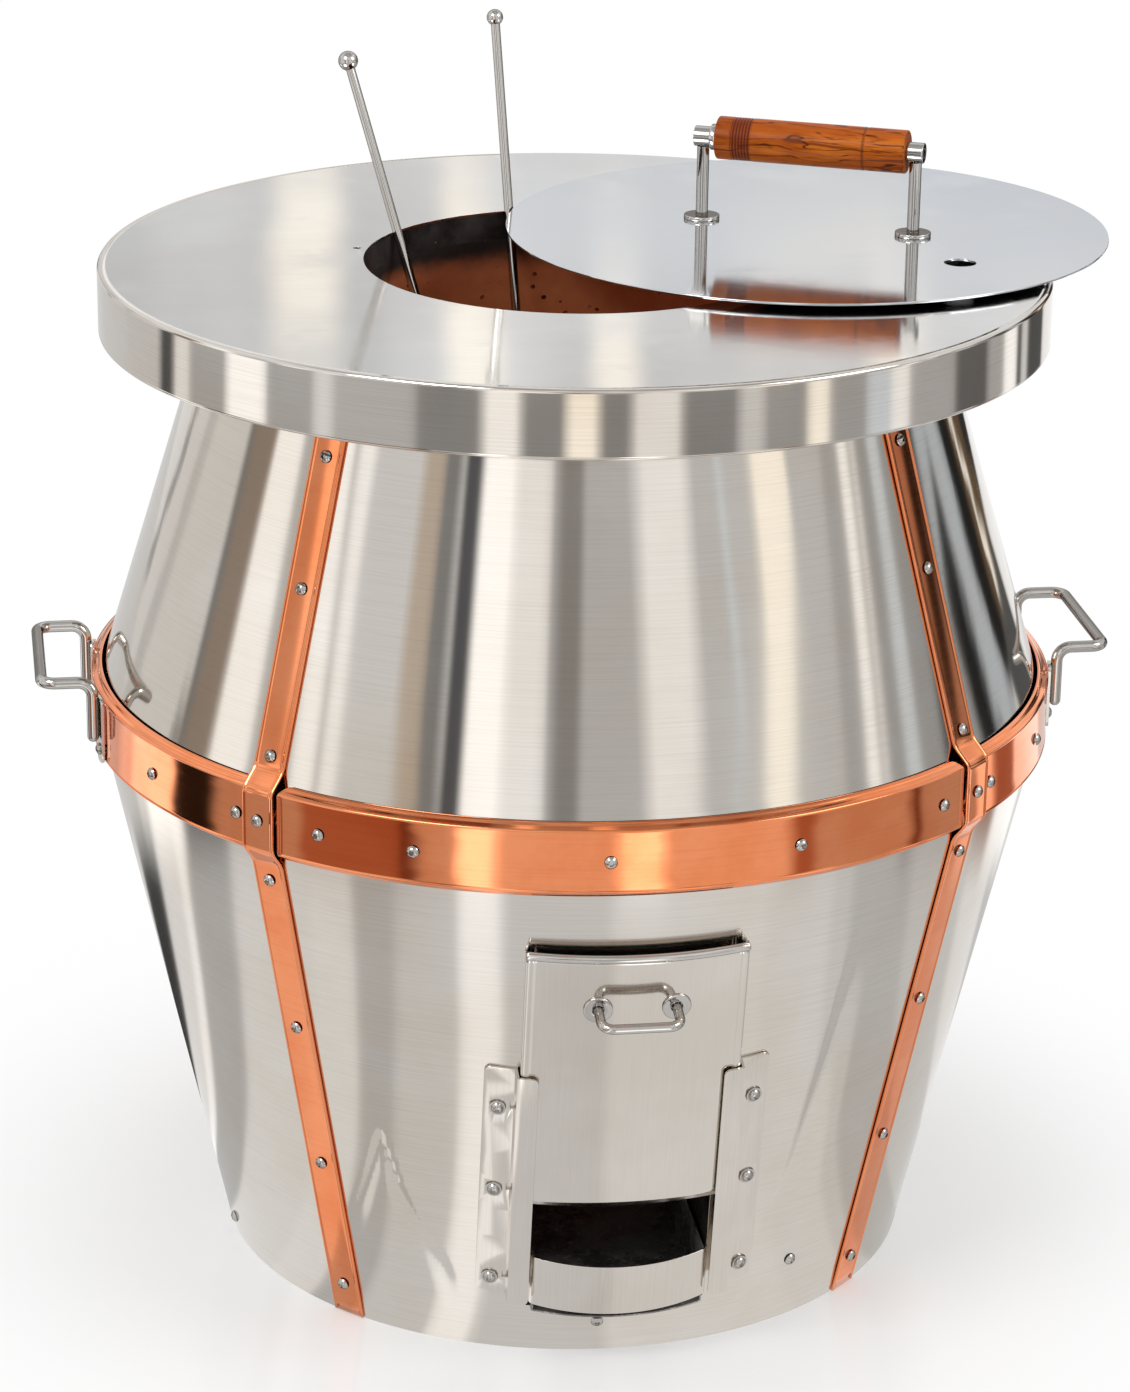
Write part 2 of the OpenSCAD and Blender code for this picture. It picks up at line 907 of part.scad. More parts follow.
// Outline of the right rail from the front, as a block that runs through the shell
module rail_block(x0) {
  on_front()
    rotate([90, 0, 0])
      translate([0, 0, -door_curve_r / 2])
        linear_extrude(door_curve_r)
          intersection() {
            rounded_rect(rail_x0, low_s(rail_z0), rail_x2, low_s(rail_z1), rail_corner_r);
            translate([x0, 0])
              square([door_w, low_s(waist_z)]);
          }
}
module rail(side) {
  mirror([side < 0 ? 1 : 0, 0, 0])
    difference() {
      union() {
        intersection() {
          on_front()
            linear_extrude(low_s(rail_z1))
              rail_plan();
          rail_block(rail_x0);
        }
        intersection() {
          low_solid(fit_gap + rail_t);
          rail_block(rail_x1 + rail_t / 2);
        }
      }
      low_solid(fit_gap);
      for (z = rail_screw_zs)
        on_low(low_az(rail_screw_x, z), z)
          screw_hole();
      on_front()
        for (z = rail_screw_zs)
          translate([rail_x1 + rail_t, 0, low_s(z) - relief_h / 2])
            cube([relief_w, door_curve_r / 4, relief_h]);
    }
}
// Rectangle with rounded corners
module rounded_rect(x0, y0, x1, y1, r) {
  translate([x0 + r, y0])
    square([x1 - x0 - 2 * r, y1 - y0]);
  translate([x0, y0 + r])
    square([x1 - x0, y1 - y0 - 2 * r]);
  for (x = [x0 + r, x1 - r])
    for (y = [y0 + r, y1 - r])
      translate([x, y])
        circle(r);
}
module door_rail_left() {
  color("gainsboro")
    rail(-1);
}
module door_rail_right() {
  color("gainsboro")
    rail(1);
}
module rail_washers() {
  color("lightgray")
    for (side = [-1, 1])
      at_rail_screws(side)
        rotate([90, 0, 0])
          translate([0, 0, flange_face])
            difference() {
              cylinder(r = washer_r, h = washer_t);
              translate([0, 0, -past])
                cylinder(r = shank_r + hole_gap, h = washer_t + 2 * past);
            }
}
module rail_screws() {
  color("lightgray")
    for (side = [-1, 1])
      at_rail_screws(side)
        screw(flange_face + washer_t + fit_gap);
}

// Side handles

// Quarter bend of a rod that starts at the origin along +Z and turns to +X
module elbow(r, bend) {
  translate([bend, 0, 0])
    rotate([90, 0, 0])
      rotate([0, 0, 90])
        rotate_extrude(angle = 90)
          translate([bend, 0])
            circle(r);
}
module side_handle() {
  leg_l = arm_z - handle_bend - leg_z0;
  arm_l = handle_out - 2 * handle_bend;
  bar_l = handle_w - 2 * handle_bend;
  for (side = [-1, 1])
    mirror([side < 0 ? 1 : 0, 0, 0])
      translate([handle_w / 2, -leg_y, leg_z0])
        rotate([0, 0, -90]) {
          cylinder(r = rod_r, h = leg_l);
          sphere(rod_r);
          translate([0, 0, leg_l])
            elbow(rod_r, handle_bend);
          translate([handle_bend, 0, leg_l + handle_bend])
            rotate([0, 90, 0]) {
              cylinder(r = rod_r, h = arm_l);
              translate([0, 0, arm_l])
                rotate([0, 0, -90])
                  elbow(rod_r, handle_bend);
            }
        }
  translate([-bar_l / 2, -leg_y - handle_out, arm_z])
    rotate([0, 90, 0])
      cylinder(r = rod_r, h = bar_l);
}
module side_handle_left() {
  color("silver")
    rotate([0, 0, -90])
      side_handle();
}
module side_handle_right() {
  color("silver")
    rotate([0, 0, 90])
      side_handle();
}
module handle_plates(side) {
  for (leg = [-1, 1])
    on_belt(side + leg * leg_az, waist_z)
      difference() {
        translate([0, -fit_gap, 0])
          rotate([90, 0, 0])
            linear_extrude(plate_t)
              rounded_rect(-plate_w / 2, -plate_h / 2, plate_w / 2, plate_h / 2, plate_corner_r);
        translate([0, 0, handle_screw_z - waist_z])
          screw_hole();
      }
}
module handle_plates_left() {
  color("silver")
    handle_plates(-90);
}
module handle_plates_right() {
  color("silver")
    handle_plates(90);
}

// Fire door

module door_plan() {
  edge = door_w / 2;
  sheet_arc(door_off, door_t, -edge, edge);
  for (side = [-1, 1])
    intersection() {
      translate([0, door_curve_r - door_off])
        difference() {
          circle(door_curve_r);
          circle(door_curve_r - door_fold);
        }
      translate([side > 0 ? edge - door_t : -edge, -2 * door_off])
        square([door_t, door_curve_r / 2]);
    }
}
// Places children at the door handle's feet, in the door's frame; they turn to the door's curve if asked
module at_door_feet(turned = false) {
  x = door_handle_w / 2;
  a = asin(x / door_curve_r);
  y = door_curve_r - door_off - door_curve_r * cos(a);
  for (side = [-1, 1])
    translate([side * x, y, low_s(door_handle_z)])
      rotate([0, 0, turned ? side * a : 0])
        rotate([90, 0, 0])
          children();
}
// Cutter for the holes round the door handle's feet
module door_feet_holes() {
  at_door_feet()
    translate([0, 0, -door_curve_r / 4])
      cylinder(r = door_rod_r + hole_gap, h = door_curve_r / 2);
}
module door_panel() {
  s0 = low_s(door_z0);
  s1 = low_s(door_z1);
  half_a = asin(door_w / 2 / door_curve_r);
  color("gainsboro")
    on_front() {
      difference() {
        translate([0, 0, s0])
          linear_extrude(s1 - s0 - bead_r)
            door_plan();
        door_feet_holes();
      }
      translate([0, door_curve_r - door_off, s1 - bead_r])
        rotate([0, 0, -90 - half_a])
          rotate_extrude(angle = 2 * half_a)
            translate([door_curve_r - bead_set, 0])
              circle(bead_r);
    }
}
module door_handle() {
  back = door_t + door_nut_t;
  leg_l = door_handle_out + back - door_handle_bend;
  bar_l = door_handle_w - 2 * door_handle_bend;
  foot_y = door_curve_r - door_off - door_curve_r * cos(asin(door_handle_w / 2 / door_curve_r));
  color("silver")
    on_front()
      translate([0, foot_y + back, low_s(door_handle_z)]) {
        for (side = [-1, 1])
          mirror([side < 0 ? 1 : 0, 0, 0])
            translate([door_handle_w / 2, 0, 0])
              rotate([90, 0, 0]) {
                cylinder(r = door_rod_r, h = leg_l);
                translate([0, 0, leg_l])
                  mirror([1, 0, 0])
                    elbow(door_rod_r, door_handle_bend);
              }
        translate([-bar_l / 2, -leg_l - door_handle_bend, 0])
          rotate([0, 90, 0])
            cylinder(r = door_rod_r, h = bar_l);
      }
}
module door_handle_roses() {
  color("silver")
    on_front()
      difference() {
        at_door_feet(turned = true)
          translate([0, 0, fit_gap])
            difference() {
              cylinder(r = rose_r, h = rose_t);
              translate([0, 0, rose_t / 2])
                cylinder(r = rose_r - rose_t, h = rose_t);
            }
        door_feet_holes();
      }
}
module door_handle_nuts() {
  color("silver")
    on_front()
      difference() {
        at_door_feet(turned = true)
          translate([0, 0, -door_t - door_nut_t - fit_gap])
            cylinder(r = door_nut_r, h = door_nut_t, $fn = 6);
        door_feet_holes();
      }
}

// Ash tray

// Plan of the tray's front in the door's frame, off millimetres inside its outer face
module tray_plan(off, back) {
  half = fire_x - off;
  corner = tray_corner_r - off;
  bow = tray_bow_r - off;
  cy = tray_bow_r - tray_bow_out;
  cx = fire_x - tray_corner_r;
  reach = tray_bow_r - tray_corner_r;
  turn = acos(cx / reach);
  ky = cy - reach * sin(turn);
  polygon(concat(
    [[half, back]],
    arc([cx, ky], corner, 0, -turn, 6),
    arc([0, cy], bow, -turn, turn - 180, 40),
    arc([-cx, ky], corner, turn - 180, -180, 6),
    [[-half, back]]
  ));
}
module ash_tray_front() {
  s1 = low_s(tray_top_z);
  color("gainsboro")
    on_front()
      translate([0, 0, s1 - tray_front_h])
        difference() {
          linear_extrude(tray_front_h)
            tray_plan(fit_gap, tray_cheek_y);
          translate([0, 0, -past])
            linear_extrude(tray_front_h + 2 * past)
              tray_plan(fit_gap + tray_t, tray_cheek_y + past);
        }
}
module ash_pan() {
  half = fire_x - tray_gap - tray_t;
  z0 = fire_z0 + rest_gap;
  top = tray_top_z - 2 * tray_gap;
  color("#1a1918")
    difference() {
      intersection() {
        translate([-half, -big, z0])
          cube([2 * half, big + tray_back_y, top - z0]);
        on_front()
          translate([0, 0, -base_r])
            linear_extrude(2 * base_r)
              tray_plan(2 * fit_gap + tray_t, base_r + waist_r);
      }
      translate([-half + tray_t, -big, z0 + tray_t])
        cube([2 * (half - tray_t), big + tray_back_y - tray_t, top]);
    }
}

// Lid

module on_lid(z = 0) {
  translate([lid_at[0], lid_at[1], lid_z + z])
    children();
}
module at_posts() {
  rotate([0, 0, grip_dir])
    for (side = [-1, 1])
      translate([side * post_w / 2, 0, 0])
        children();
}
module lid_plate() {
  color("gainsboro")
    on_lid()
      difference() {
        cylinder(r = lid_r, h = lid_t);
        translate([vent_at[0], vent_at[1], -past])
          cylinder(r = vent_r, h = lid_t + 2 * past);
        at_posts()
          translate([0, 0, -past])
            cylinder(r = post_r + hole_gap, h = lid_t + 2 * past);
      }
}
module lid_ring() {
  color("silver")
    on_lid(-ring_h + rest_gap)
      difference() {
        cylinder(r = ring_r, h = ring_h - rest_gap);
        translate([0, 0, -past])
          cylinder(r = ring_r - ring_t, h = ring_h + 2 * past);
      }
}
module lid_post_flanges() {
  color("silver")
    on_lid(lid_t)
      at_posts()
        difference() {
          cylinder(r = flange_r, h = flange_t);
          translate([0, 0, -past])
            cylinder(r = post_r + hole_gap, h = flange_t + 2 * past);
        }
}
module lid_posts() {
  color("silver")
    on_lid(-lid_nut_t)
      at_posts()
        cylinder(r = post_r, h = lid_nut_t + lid_t + grip_h - boss_r + past / 2);
}
module lid_post_bosses() {
  color("silver")
    difference() {
      on_lid(lid_t + grip_h)
        at_posts()
          translate([-boss_l / 2, 0, 0])
            rotate([0, 90, 0])
              difference() {
                cylinder(r = boss_r, h = boss_l);
                translate([0, 0, -past])
                  cylinder(r = axle_r + run_gap, h = boss_l + 2 * past);
              }
      on_lid(-lid_nut_t)
        at_posts()
          cylinder(r = post_r + fit_gap / 2, h = lid_nut_t + lid_t + grip_h - boss_r + past / 2 + fit_gap);
    }
}
module lid_nuts() {
  color("silver")
    on_lid(-lid_nut_t)
      at_posts()
        difference() {
          cylinder(r = lid_nut_r, h = lid_nut_t, $fn = 6);
          translate([0, 0, -past])
            cylinder(r = post_r + hole_gap, h = lid_nut_t + 2 * past);
        }
}
module on_grip(x = 0) {
  on_lid(lid_t + grip_h)
    rotate([0, 0, grip_dir])
      translate([x, 0, 0])
        rotate([0, 90, 0])
          children();
}
module grip_axle() {
  length = post_w + boss_l;
  color("silver")
    on_grip(-length / 2)
      cylinder(r = axle_r, h = length);
}
module grip_spacer() {
  color("silver")
    on_grip(-post_w / 2 + boss_l / 2 + fit_gap / 2)
      difference() {
        cylinder(r = spacer_r, h = spacer_l - fit_gap);
        translate([0, 0, -past])
          cylinder(r = axle_r + run_gap, h = spacer_l + 2 * past);
      }
}
module wood_grip() {
  color("#b35a22")
    on_grip(grip_x0)
      difference() {
        cylinder(r = grip_r, h = grip_x1 - grip_x0);
        translate([0, 0, -past])
          cylinder(r = axle_r + run_gap, h = grip_x1 - grip_x0 + 2 * past);
      }
}

// Skewers

// Frame along skewer i, with its tip at the origin and Z running up the rod
module on_skewer(i) {
  lean = skewer_leans[i];
  tip_z = hearth_top_z + rest_gap + point_r * sin(lean);
  edge_r = mouth_r - skewer_r / cos(lean) - rest_gap;
  tip_r = edge_r - tan(lean) * (body_h - tip_z);
  rotate([0, 0, skewer_azs[i]])
    translate([0, -tip_r, tip_z])
      rotate([lean, 0, 0])
        children();
}
module skewer_rod(i) {
  color("silver")
    on_skewer(i) {
      cylinder(r1 = point_r, r2 = skewer_r, h = point_l);
      translate([0, 0, point_l])
        cylinder(r = skewer_r, h = skewer_l - point_l - ball_rs[i] / 2);
    }
}
module skewer_ball(i) {
  color("silver")
    on_skewer(i)
      difference() {
        translate([0, 0, skewer_l])
          sphere(ball_rs[i]);
        cylinder(r = skewer_r + fit_gap / 4, h = skewer_l - ball_rs[i] / 2 + fit_gap / 4);
      }
}
module skewer_left_rod() {
  skewer_rod(0);
}
module skewer_left_ball() {
  skewer_ball(0);
}
module skewer_right_rod() {
  skewer_rod(1);
}
module skewer_right_ball() {
  skewer_ball(1);
}

base_pan();
lower_shell();
upper_shell();
neck_ring();
top_deck();
deck_rim();
mouth_collar();
clay_pot();
fibre_blanket();
hearth_floor();
hearth_left();
hearth_right();
hearth_back();
hearth_cap();
fire_grate();
fire_duct();
belt_front();
belt_right();
belt_back();
belt_left();
strap_front_left();
strap_front_right();
strap_back_right();
strap_back_left();
belt_screws();
strap_screws();
base_screws();
door_rail_left();
door_rail_right();
rail_screws();
rail_washers();
side_handle_left();
side_handle_right();
handle_plates_left();
handle_plates_right();
handle_screws();
door_panel();
door_handle();
door_handle_roses();
door_handle_nuts();
ash_pan();
ash_tray_front();
lid_plate();
lid_ring();
lid_post_flanges();
lid_posts();
lid_post_bosses();
lid_nuts();
grip_axle();
grip_spacer();
wood_grip();
skewer_left_rod();
skewer_left_ball();
skewer_right_rod();
skewer_right_ball();
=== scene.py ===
"""Looks of a charcoal tandoor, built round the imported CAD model. Metres, +Z up, the fire door faces -Y."""
import json
from math import asin, atan, atan2, copysign, cos, degrees, exp, hypot, pi, radians, sin, sqrt

import bmesh
import bpy
from mathutils import Matrix, Vector, noise


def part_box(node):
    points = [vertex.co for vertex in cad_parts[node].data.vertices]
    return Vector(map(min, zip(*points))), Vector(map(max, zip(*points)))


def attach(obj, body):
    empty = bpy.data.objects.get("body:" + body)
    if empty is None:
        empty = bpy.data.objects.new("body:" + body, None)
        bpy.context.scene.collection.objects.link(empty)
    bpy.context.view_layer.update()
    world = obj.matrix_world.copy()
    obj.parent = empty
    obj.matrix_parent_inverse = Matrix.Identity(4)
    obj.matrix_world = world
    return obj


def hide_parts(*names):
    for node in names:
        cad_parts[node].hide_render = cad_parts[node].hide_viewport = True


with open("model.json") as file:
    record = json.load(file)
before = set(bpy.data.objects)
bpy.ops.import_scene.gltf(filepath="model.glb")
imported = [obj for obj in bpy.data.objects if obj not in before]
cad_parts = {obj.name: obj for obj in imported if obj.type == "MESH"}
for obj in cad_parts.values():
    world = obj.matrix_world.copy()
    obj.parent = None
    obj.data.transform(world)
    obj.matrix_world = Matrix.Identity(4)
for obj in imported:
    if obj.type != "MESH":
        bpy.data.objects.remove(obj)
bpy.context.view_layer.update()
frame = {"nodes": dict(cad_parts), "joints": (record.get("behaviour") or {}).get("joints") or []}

nodes = frame["nodes"]
MM = 0.001


# Sizes taken from the frame

def points_of(node):
    return [v.co for v in nodes[node].data.vertices]


def radius_at(node, z, tol=0.6 * MM):
    """Largest distance from the axis of a node's points at height z."""
    return max(hypot(p.x, p.y) for p in points_of(node) if abs(p.z - z) < tol)


waist_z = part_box("lower_shell")[1].z
waist_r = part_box("lower_shell")[1].x
base_r = radius_at("lower_shell", 0)
low_tilt = atan2(waist_r - base_r, waist_z)
shell_top_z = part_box("upper_shell")[1].z
neck_r = radius_at("upper_shell", shell_top_z)
body_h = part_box("top_deck")[1].z
belt_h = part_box("belt_front")[1].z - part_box("belt_front")[0].z

# Sizes that the part's source has under the same names

sheet_t, fit_gap = 2 * MM, 0.2 * MM
fire_x, fire_z0, fire_z1 = 75 * MM, 46 * MM, 246 * MM
belt_t, belt_bevel_h, belt_corner_r = 2 * MM, 5 * MM, 8 * MM
belt_out_r = waist_r + fit_gap + belt_t
strap_w, strap_t, strap_step = 31 * MM, 2.5 * MM, 9 * MM
strap_side_gap, belt_tuck = 3 * MM, 9 * MM
door_w, door_t, door_off, door_fold = 180 * MM, 1.5 * MM, 12 * MM, 9 * MM
door_curve_r, bead_r, bead_set = 372 * MM, 3.6 * MM, 1.4 * MM
door_z0, door_z1 = 160 * MM, 407 * MM
door_handle_w, door_handle_z = 63.5 * MM, 356 * MM


def low_r(z):
    """Outer radius of the lower shell at height z."""
    return base_r + (waist_r - base_r) * z / waist_z


def up_r(z):
    """Outer radius of the upper shell at height z."""
    return waist_r - (waist_r - neck_r) * (z - waist_z) / (shell_top_z - waist_z)


# The grip's axis and size, from its joint and its node

spin = next(j for j in frame["joints"] if j["name"] == "grip_spin")
grip_axis = Vector(spin["axis"]).normalized()
grip_turn = atan2(grip_axis.y, grip_axis.x)
grip_ends = [(p - Vector(spin["pos_m"])).dot(grip_axis) for p in points_of("wood_grip")]
grip_half = (max(grip_ends) - min(grip_ends)) / 2
grip_mid = Vector(spin["pos_m"]) + grip_axis * (max(grip_ends) + min(grip_ends)) / 2
grip_place = Vector((0, 0, 1)).rotation_difference(grip_axis).to_matrix().to_4x4()
grip_place = Matrix.Translation(grip_mid) @ grip_place


def along_grip(point):
    return (point - grip_mid).dot(grip_axis)


def off_grip(point):
    """A point's distance from the grip's axis."""
    return ((point - grip_mid) - along_grip(point) * grip_axis).length


grip_r = max(off_grip(p) for p in points_of("wood_grip"))

# The dark band and its ring grooves, from the grip's left end, and the scribed line, from its right end

BAND_FROM, BAND_TO, BAND_TURNS = 13.5 * MM, 32 * MM, 14 * pi
SCRIBE_AT = 35 * MM


def add_object(name, data):
    thing = bpy.data.objects.new(name, data)
    bpy.context.scene.collection.objects.link(thing)
    return thing


# Camera, measured from the outlines of the deck, the belt and the base in the 1130x1392 photograph

PHOTO_H = 1392
FOCAL_PX = 4257.03
CAMERA_AZ = radians(-8.5)
CAMERA_FAR = 3.4856
CAMERA_H = 1.75
PITCH, YAW, ROLL = radians(20.08), radians(-0.06), radians(0.79)


def make_camera():
    data = bpy.data.cameras.new("camera")
    data.sensor_width = 36
    data.lens = data.sensor_width * FOCAL_PX / PHOTO_H
    data.clip_end = 100
    camera = add_object("camera", data)
    camera.location = (CAMERA_FAR * sin(CAMERA_AZ), -CAMERA_FAR * cos(CAMERA_AZ), CAMERA_H)
    aim = Matrix.Rotation(CAMERA_AZ - YAW, 4, "Z") @ Matrix.Rotation(pi / 2 - PITCH, 4, "X")
    camera.rotation_euler = (aim @ Matrix.Rotation(ROLL, 4, "Z")).to_euler()
    bpy.context.scene.camera = camera


# Node helpers

class Net:
    """A small writer of shader nodes."""

    def __init__(self, tree):
        self.tree = tree
        tree.nodes.clear()

    def add(self, kind, settings=None, **inputs):
        node = self.tree.nodes.new(kind)
        for key, value in (settings or {}).items():
            setattr(node, key, value)
        for key, value in inputs.items():
            numbered = key[0] == "i" and key[1:].isdigit()
            self.put(node.inputs[int(key[1:]) if numbered else key.replace("_", " ")], value)
        return node

    def put(self, socket, value):
        if isinstance(value, bpy.types.NodeSocket):
            self.tree.links.new(value, socket)
        else:
            socket.default_value = value

    def math(self, op, a, b=0.0, c=0.0):
        return self.add("ShaderNodeMath", {"operation": op}, i0=a, i1=b, i2=c).outputs[0]

    def product(self, a, b):
        return self.math("MULTIPLY", a, b)

    def away(self, value, middle):
        """How far a value is from a middle."""
        return self.math("ABSOLUTE", self.math("SUBTRACT", value, middle))

    def distance(self, x, y):
        return self.math("SQRT", self.math("ADD", self.product(x, x), self.product(y, y)))

    def azimuth(self, x, y):
        """The angle round the axis from the front, in radians, growing to the right."""
        return self.math("ARCTAN2", x, self.product(y, -1.0))

    def split(self, vector):
        return self.add("ShaderNodeSeparateXYZ", None, i0=vector).outputs

    def mix(self, factor, a, b, blend="MIX"):
        node = self.add("ShaderNodeMix", {"data_type": "RGBA", "blend_type": blend})
        self.put(node.inputs[0], factor)
        self.put(node.inputs[6], a)
        self.put(node.inputs[7], b)
        return node.outputs[2]

    def noise(self, vector, scale, detail=3.0, rough=0.5, distortion=0.0):
        return self.add("ShaderNodeTexNoise", None, Vector=vector, Scale=scale, Detail=detail,
                        Roughness=rough, Distortion=distortion).outputs[0]

    def remap(self, value, low, high, to_low=0.0, to_high=1.0):
        return self.add("ShaderNodeMapRange", {"interpolation_type": "SMOOTHSTEP"},
                        i0=value, i1=low, i2=high, i3=to_low, i4=to_high).outputs[0]

    def between(self, value, low, low_in, high_in, high):
        """1 from low_in to high_in, and 0 below low and above high."""
        return self.product(self.remap(value, low, low_in), self.remap(value, high_in, high, 1.0, 0.0))

    def ramp(self, value, stops, interpolation="EASE"):
        node = self.add("ShaderNodeValToRGB", None, Fac=value)
        band = node.color_ramp
        band.interpolation = interpolation
        for place, colour in stops[2:]:
            band.elements.new(place)
        for element, (place, colour) in zip(band.elements, stops):
            element.position = place
            element.color = (*colour, 1)
        return node.outputs[0]

    def object_xyz(self):
        """The point's place in the shared frame, and its three parts."""
        place = self.add("ShaderNodeTexCoord").outputs["Object"]
        return place, self.split(place)

    def stretched(self, place, scale):
        return self.add("ShaderNodeMapping", None, Vector=place, Scale=scale).outputs[0]

    def round_place(self, xyz, across, along):
        """A place on a turned surface: azimuth, distance from the axis and height, with its own scales."""
        x, y, z = xyz
        return self.add("ShaderNodeCombineXYZ", None, i0=self.product(self.azimuth(x, y), across),
                        i1=self.product(self.distance(x, y), along), i2=self.product(z, along)).outputs[0]

    def bump(self, strength, depth, height, **below):
        return self.add("ShaderNodeBump", None, Strength=strength, Distance=depth, Height=height,
                        **below).outputs[0]

    def blend(self, factor, a, b):
        """A mix of two shader nodes."""
        return self.add("ShaderNodeMixShader", None, i0=factor, i1=a.outputs[0], i2=b.outputs[0])


def new_material(name):
    material = bpy.data.materials.new(name)
    material.use_nodes = True
    net = Net(material.node_tree)
    shader = net.add("ShaderNodeBsdfPrincipled")
    net.add("ShaderNodeOutputMaterial", None, i0=shader.outputs[0])
    return material, net, shader


def finish_material(net, shader, colour, roughness, normal, metallic=0.0):
    for socket, value in (("Base Color", colour), ("Roughness", roughness), ("Normal", normal)):
        net.put(shader.inputs[socket], value)
    shader.inputs["Metallic"].default_value = metallic


# Depth of the hairlines in brushed or rubbed metal
HAIRLINE = 0.02 * MM


def steel(name, colour, warm, rough, brush=None, anisotropy=0.0, grain=0.05, smudge=0.25, lines_depth=0.1,
          wave=0.0, tint=None):
    """Stainless steel, in clouds of two tones. brush is "round" for hairlines that run round the axis,
    "across" for lines along X, "along" for lines up the front, or None. grain is how much they change the
    roughness, and smudge how much wiped marks add to it. lines_depth is how dark the lines are, wave the
    height of soft unevenness in the sheet, and tint the colour that it turns at a low angle."""
    material, net, shader = new_material(name)
    place, xyz = net.object_xyz()
    cloud = net.noise(place, 5.0, 4.0, 0.6)
    tone = net.mix(net.remap(cloud, 0.35, 0.65), (*colour, 1), (*warm, 1))
    if brush == "round":
        lines = net.noise(net.round_place(xyz, 3.0, 900.0), 1.0, 2.0, 0.6)
    elif brush == "across":
        lines = net.noise(net.stretched(place, (6.0, 900.0, 900.0)), 1.0, 2.0, 0.6)
    elif brush == "along":
        lines = net.noise(net.stretched(place, (1100.0, 60.0, 9.0)), 1.0, 2.0, 0.6)
    else:
        lines = net.noise(place, 300.0, 2.0, 0.6)
    tone = net.mix(net.remap(lines, 0.35, 0.75, 0.0, lines_depth), tone, (0.3, 0.29, 0.28, 1))
    smear = net.remap(net.noise(place, 11.0, 5.0, 0.65), 0.5, 0.75, 0.0, smudge * rough)
    spread = net.math("MULTIPLY_ADD", lines, grain, rough - grain / 2)
    normal = net.bump(0.06, HAIRLINE, lines)
    if wave:
        normal = net.bump(1.0, wave, net.noise(place, 4.5, 1.0, 0.4), Normal=normal)
    finish_material(net, shader, tone, net.math("ADD", spread, smear), normal, 1.0)
    if tint:
        shader.inputs["Specular Tint"].default_value = (*tint, 1)
    if anisotropy:
        axis, turn = ("Z", 0.25) if brush == "round" else ("X", 0.0)
        shader.inputs["Anisotropic"].default_value = anisotropy
        shader.inputs["Anisotropic Rotation"].default_value = turn
        tangent = net.add("ShaderNodeTangent", {"direction_type": "RADIAL", "axis": axis})
        net.put(shader.inputs["Tangent"], tangent.outputs[0])
    return material


def copper(name):
    """Polished copper sheet with faint tarnish clouds and fine rubbing marks."""
    material, net, shader = new_material(name)
    place, xyz = net.object_xyz()
    cloud = net.noise(place, 14.0, 5.0, 0.6)
    tone = net.mix(net.remap(cloud, 0.35, 0.7), (0.97, 0.34, 0.155, 1), (0.9, 0.27, 0.105, 1))
    lines = net.noise(net.round_place(xyz, 4.0, 500.0), 1.0, 2.0, 0.6)
    tone = net.mix(net.remap(lines, 0.45, 0.75, 0.0, 0.15), tone, (0.7, 0.17, 0.06, 1))
    rough = net.math("MULTIPLY_ADD", lines, 0.06, 0.06)
    finish_material(net, shader, tone, rough, net.bump(0.05, HAIRLINE, lines), 1.0)
    return material


def soot(name, dark, pale, rough, ash):
    """Steel blackened by smoke, with pale flecks of ash. A higher ash leaves fewer flecks."""
    material, net, shader = new_material(name)
    place, _ = net.object_xyz()
    cloud = net.remap(net.noise(place, 18.0, 5.0, 0.65), 0.35, 0.7)
    tone = net.mix(cloud, (*dark, 1), (*pale, 1))
    fleck = net.remap(net.noise(place, 160.0, 3.0, 0.7, 1.5), ash, ash + 0.04)
    tone = net.mix(fleck, tone, (0.5, 0.48, 0.45, 1))
    normal = net.bump(0.5, 0.6 * MM, net.math("ADD", cloud, fleck))
    finish_material(net, shader, tone, net.math("MULTIPLY_ADD", cloud, 0.3, rough), normal, 0.35)
    return material


def clay(name):
    """Unglazed clay with pits, trowel marks and a sooty upper edge. The pits are painted near-black, which is
    painted shade in the hollows.
    """
    material, net, shader = new_material(name)
    place, xyz = net.object_xyz()
    cloud = net.noise(place, 9.0, 6.0, 0.65)
    tone = net.mix(net.remap(cloud, 0.3, 0.7), (0.64, 0.2, 0.075, 1), (0.82, 0.31, 0.12, 1))
    pit = net.add("ShaderNodeTexVoronoi", None, Vector=place, Scale=75.0).outputs[0]
    pit = net.product(net.remap(pit, 0.13, 0.2, 1.0, 0.0), net.remap(net.noise(place, 22.0, 2.0), 0.46, 0.56))
    # Painted shade: the pits are painted near-black.
    tone = net.mix(pit, tone, (0.05, 0.016, 0.008, 1))
    smoke = net.math("MULTIPLY_ADD", cloud, 50 * MM, xyz[2])
    smoke = net.remap(smoke, body_h - 35 * MM, body_h - 10 * MM)
    tone = net.mix(smoke, tone, (0.02, 0.015, 0.012, 1))
    marks = net.noise(net.round_place(xyz, 2.0, 60.0), 1.0, 4.0, 0.6)
    height = net.math("SUBTRACT", net.math("MULTIPLY_ADD", marks, 0.5, net.product(cloud, 0.5)), pit)
    finish_material(net, shader, tone, 0.88, net.bump(0.7, 1.2 * MM, height))
    return material


def crumbly(name, dark, pale, scale, depth):
    """A rough mineral or fibre surface."""
    material, net, shader = new_material(name)
    place, _ = net.object_xyz()
    cloud = net.noise(place, scale, 6.0, 0.7)
    tone = net.mix(net.remap(cloud, 0.3, 0.7), (*dark, 1), (*pale, 1))
    finish_material(net, shader, tone, 0.9, net.bump(0.6, depth, cloud))
    return material


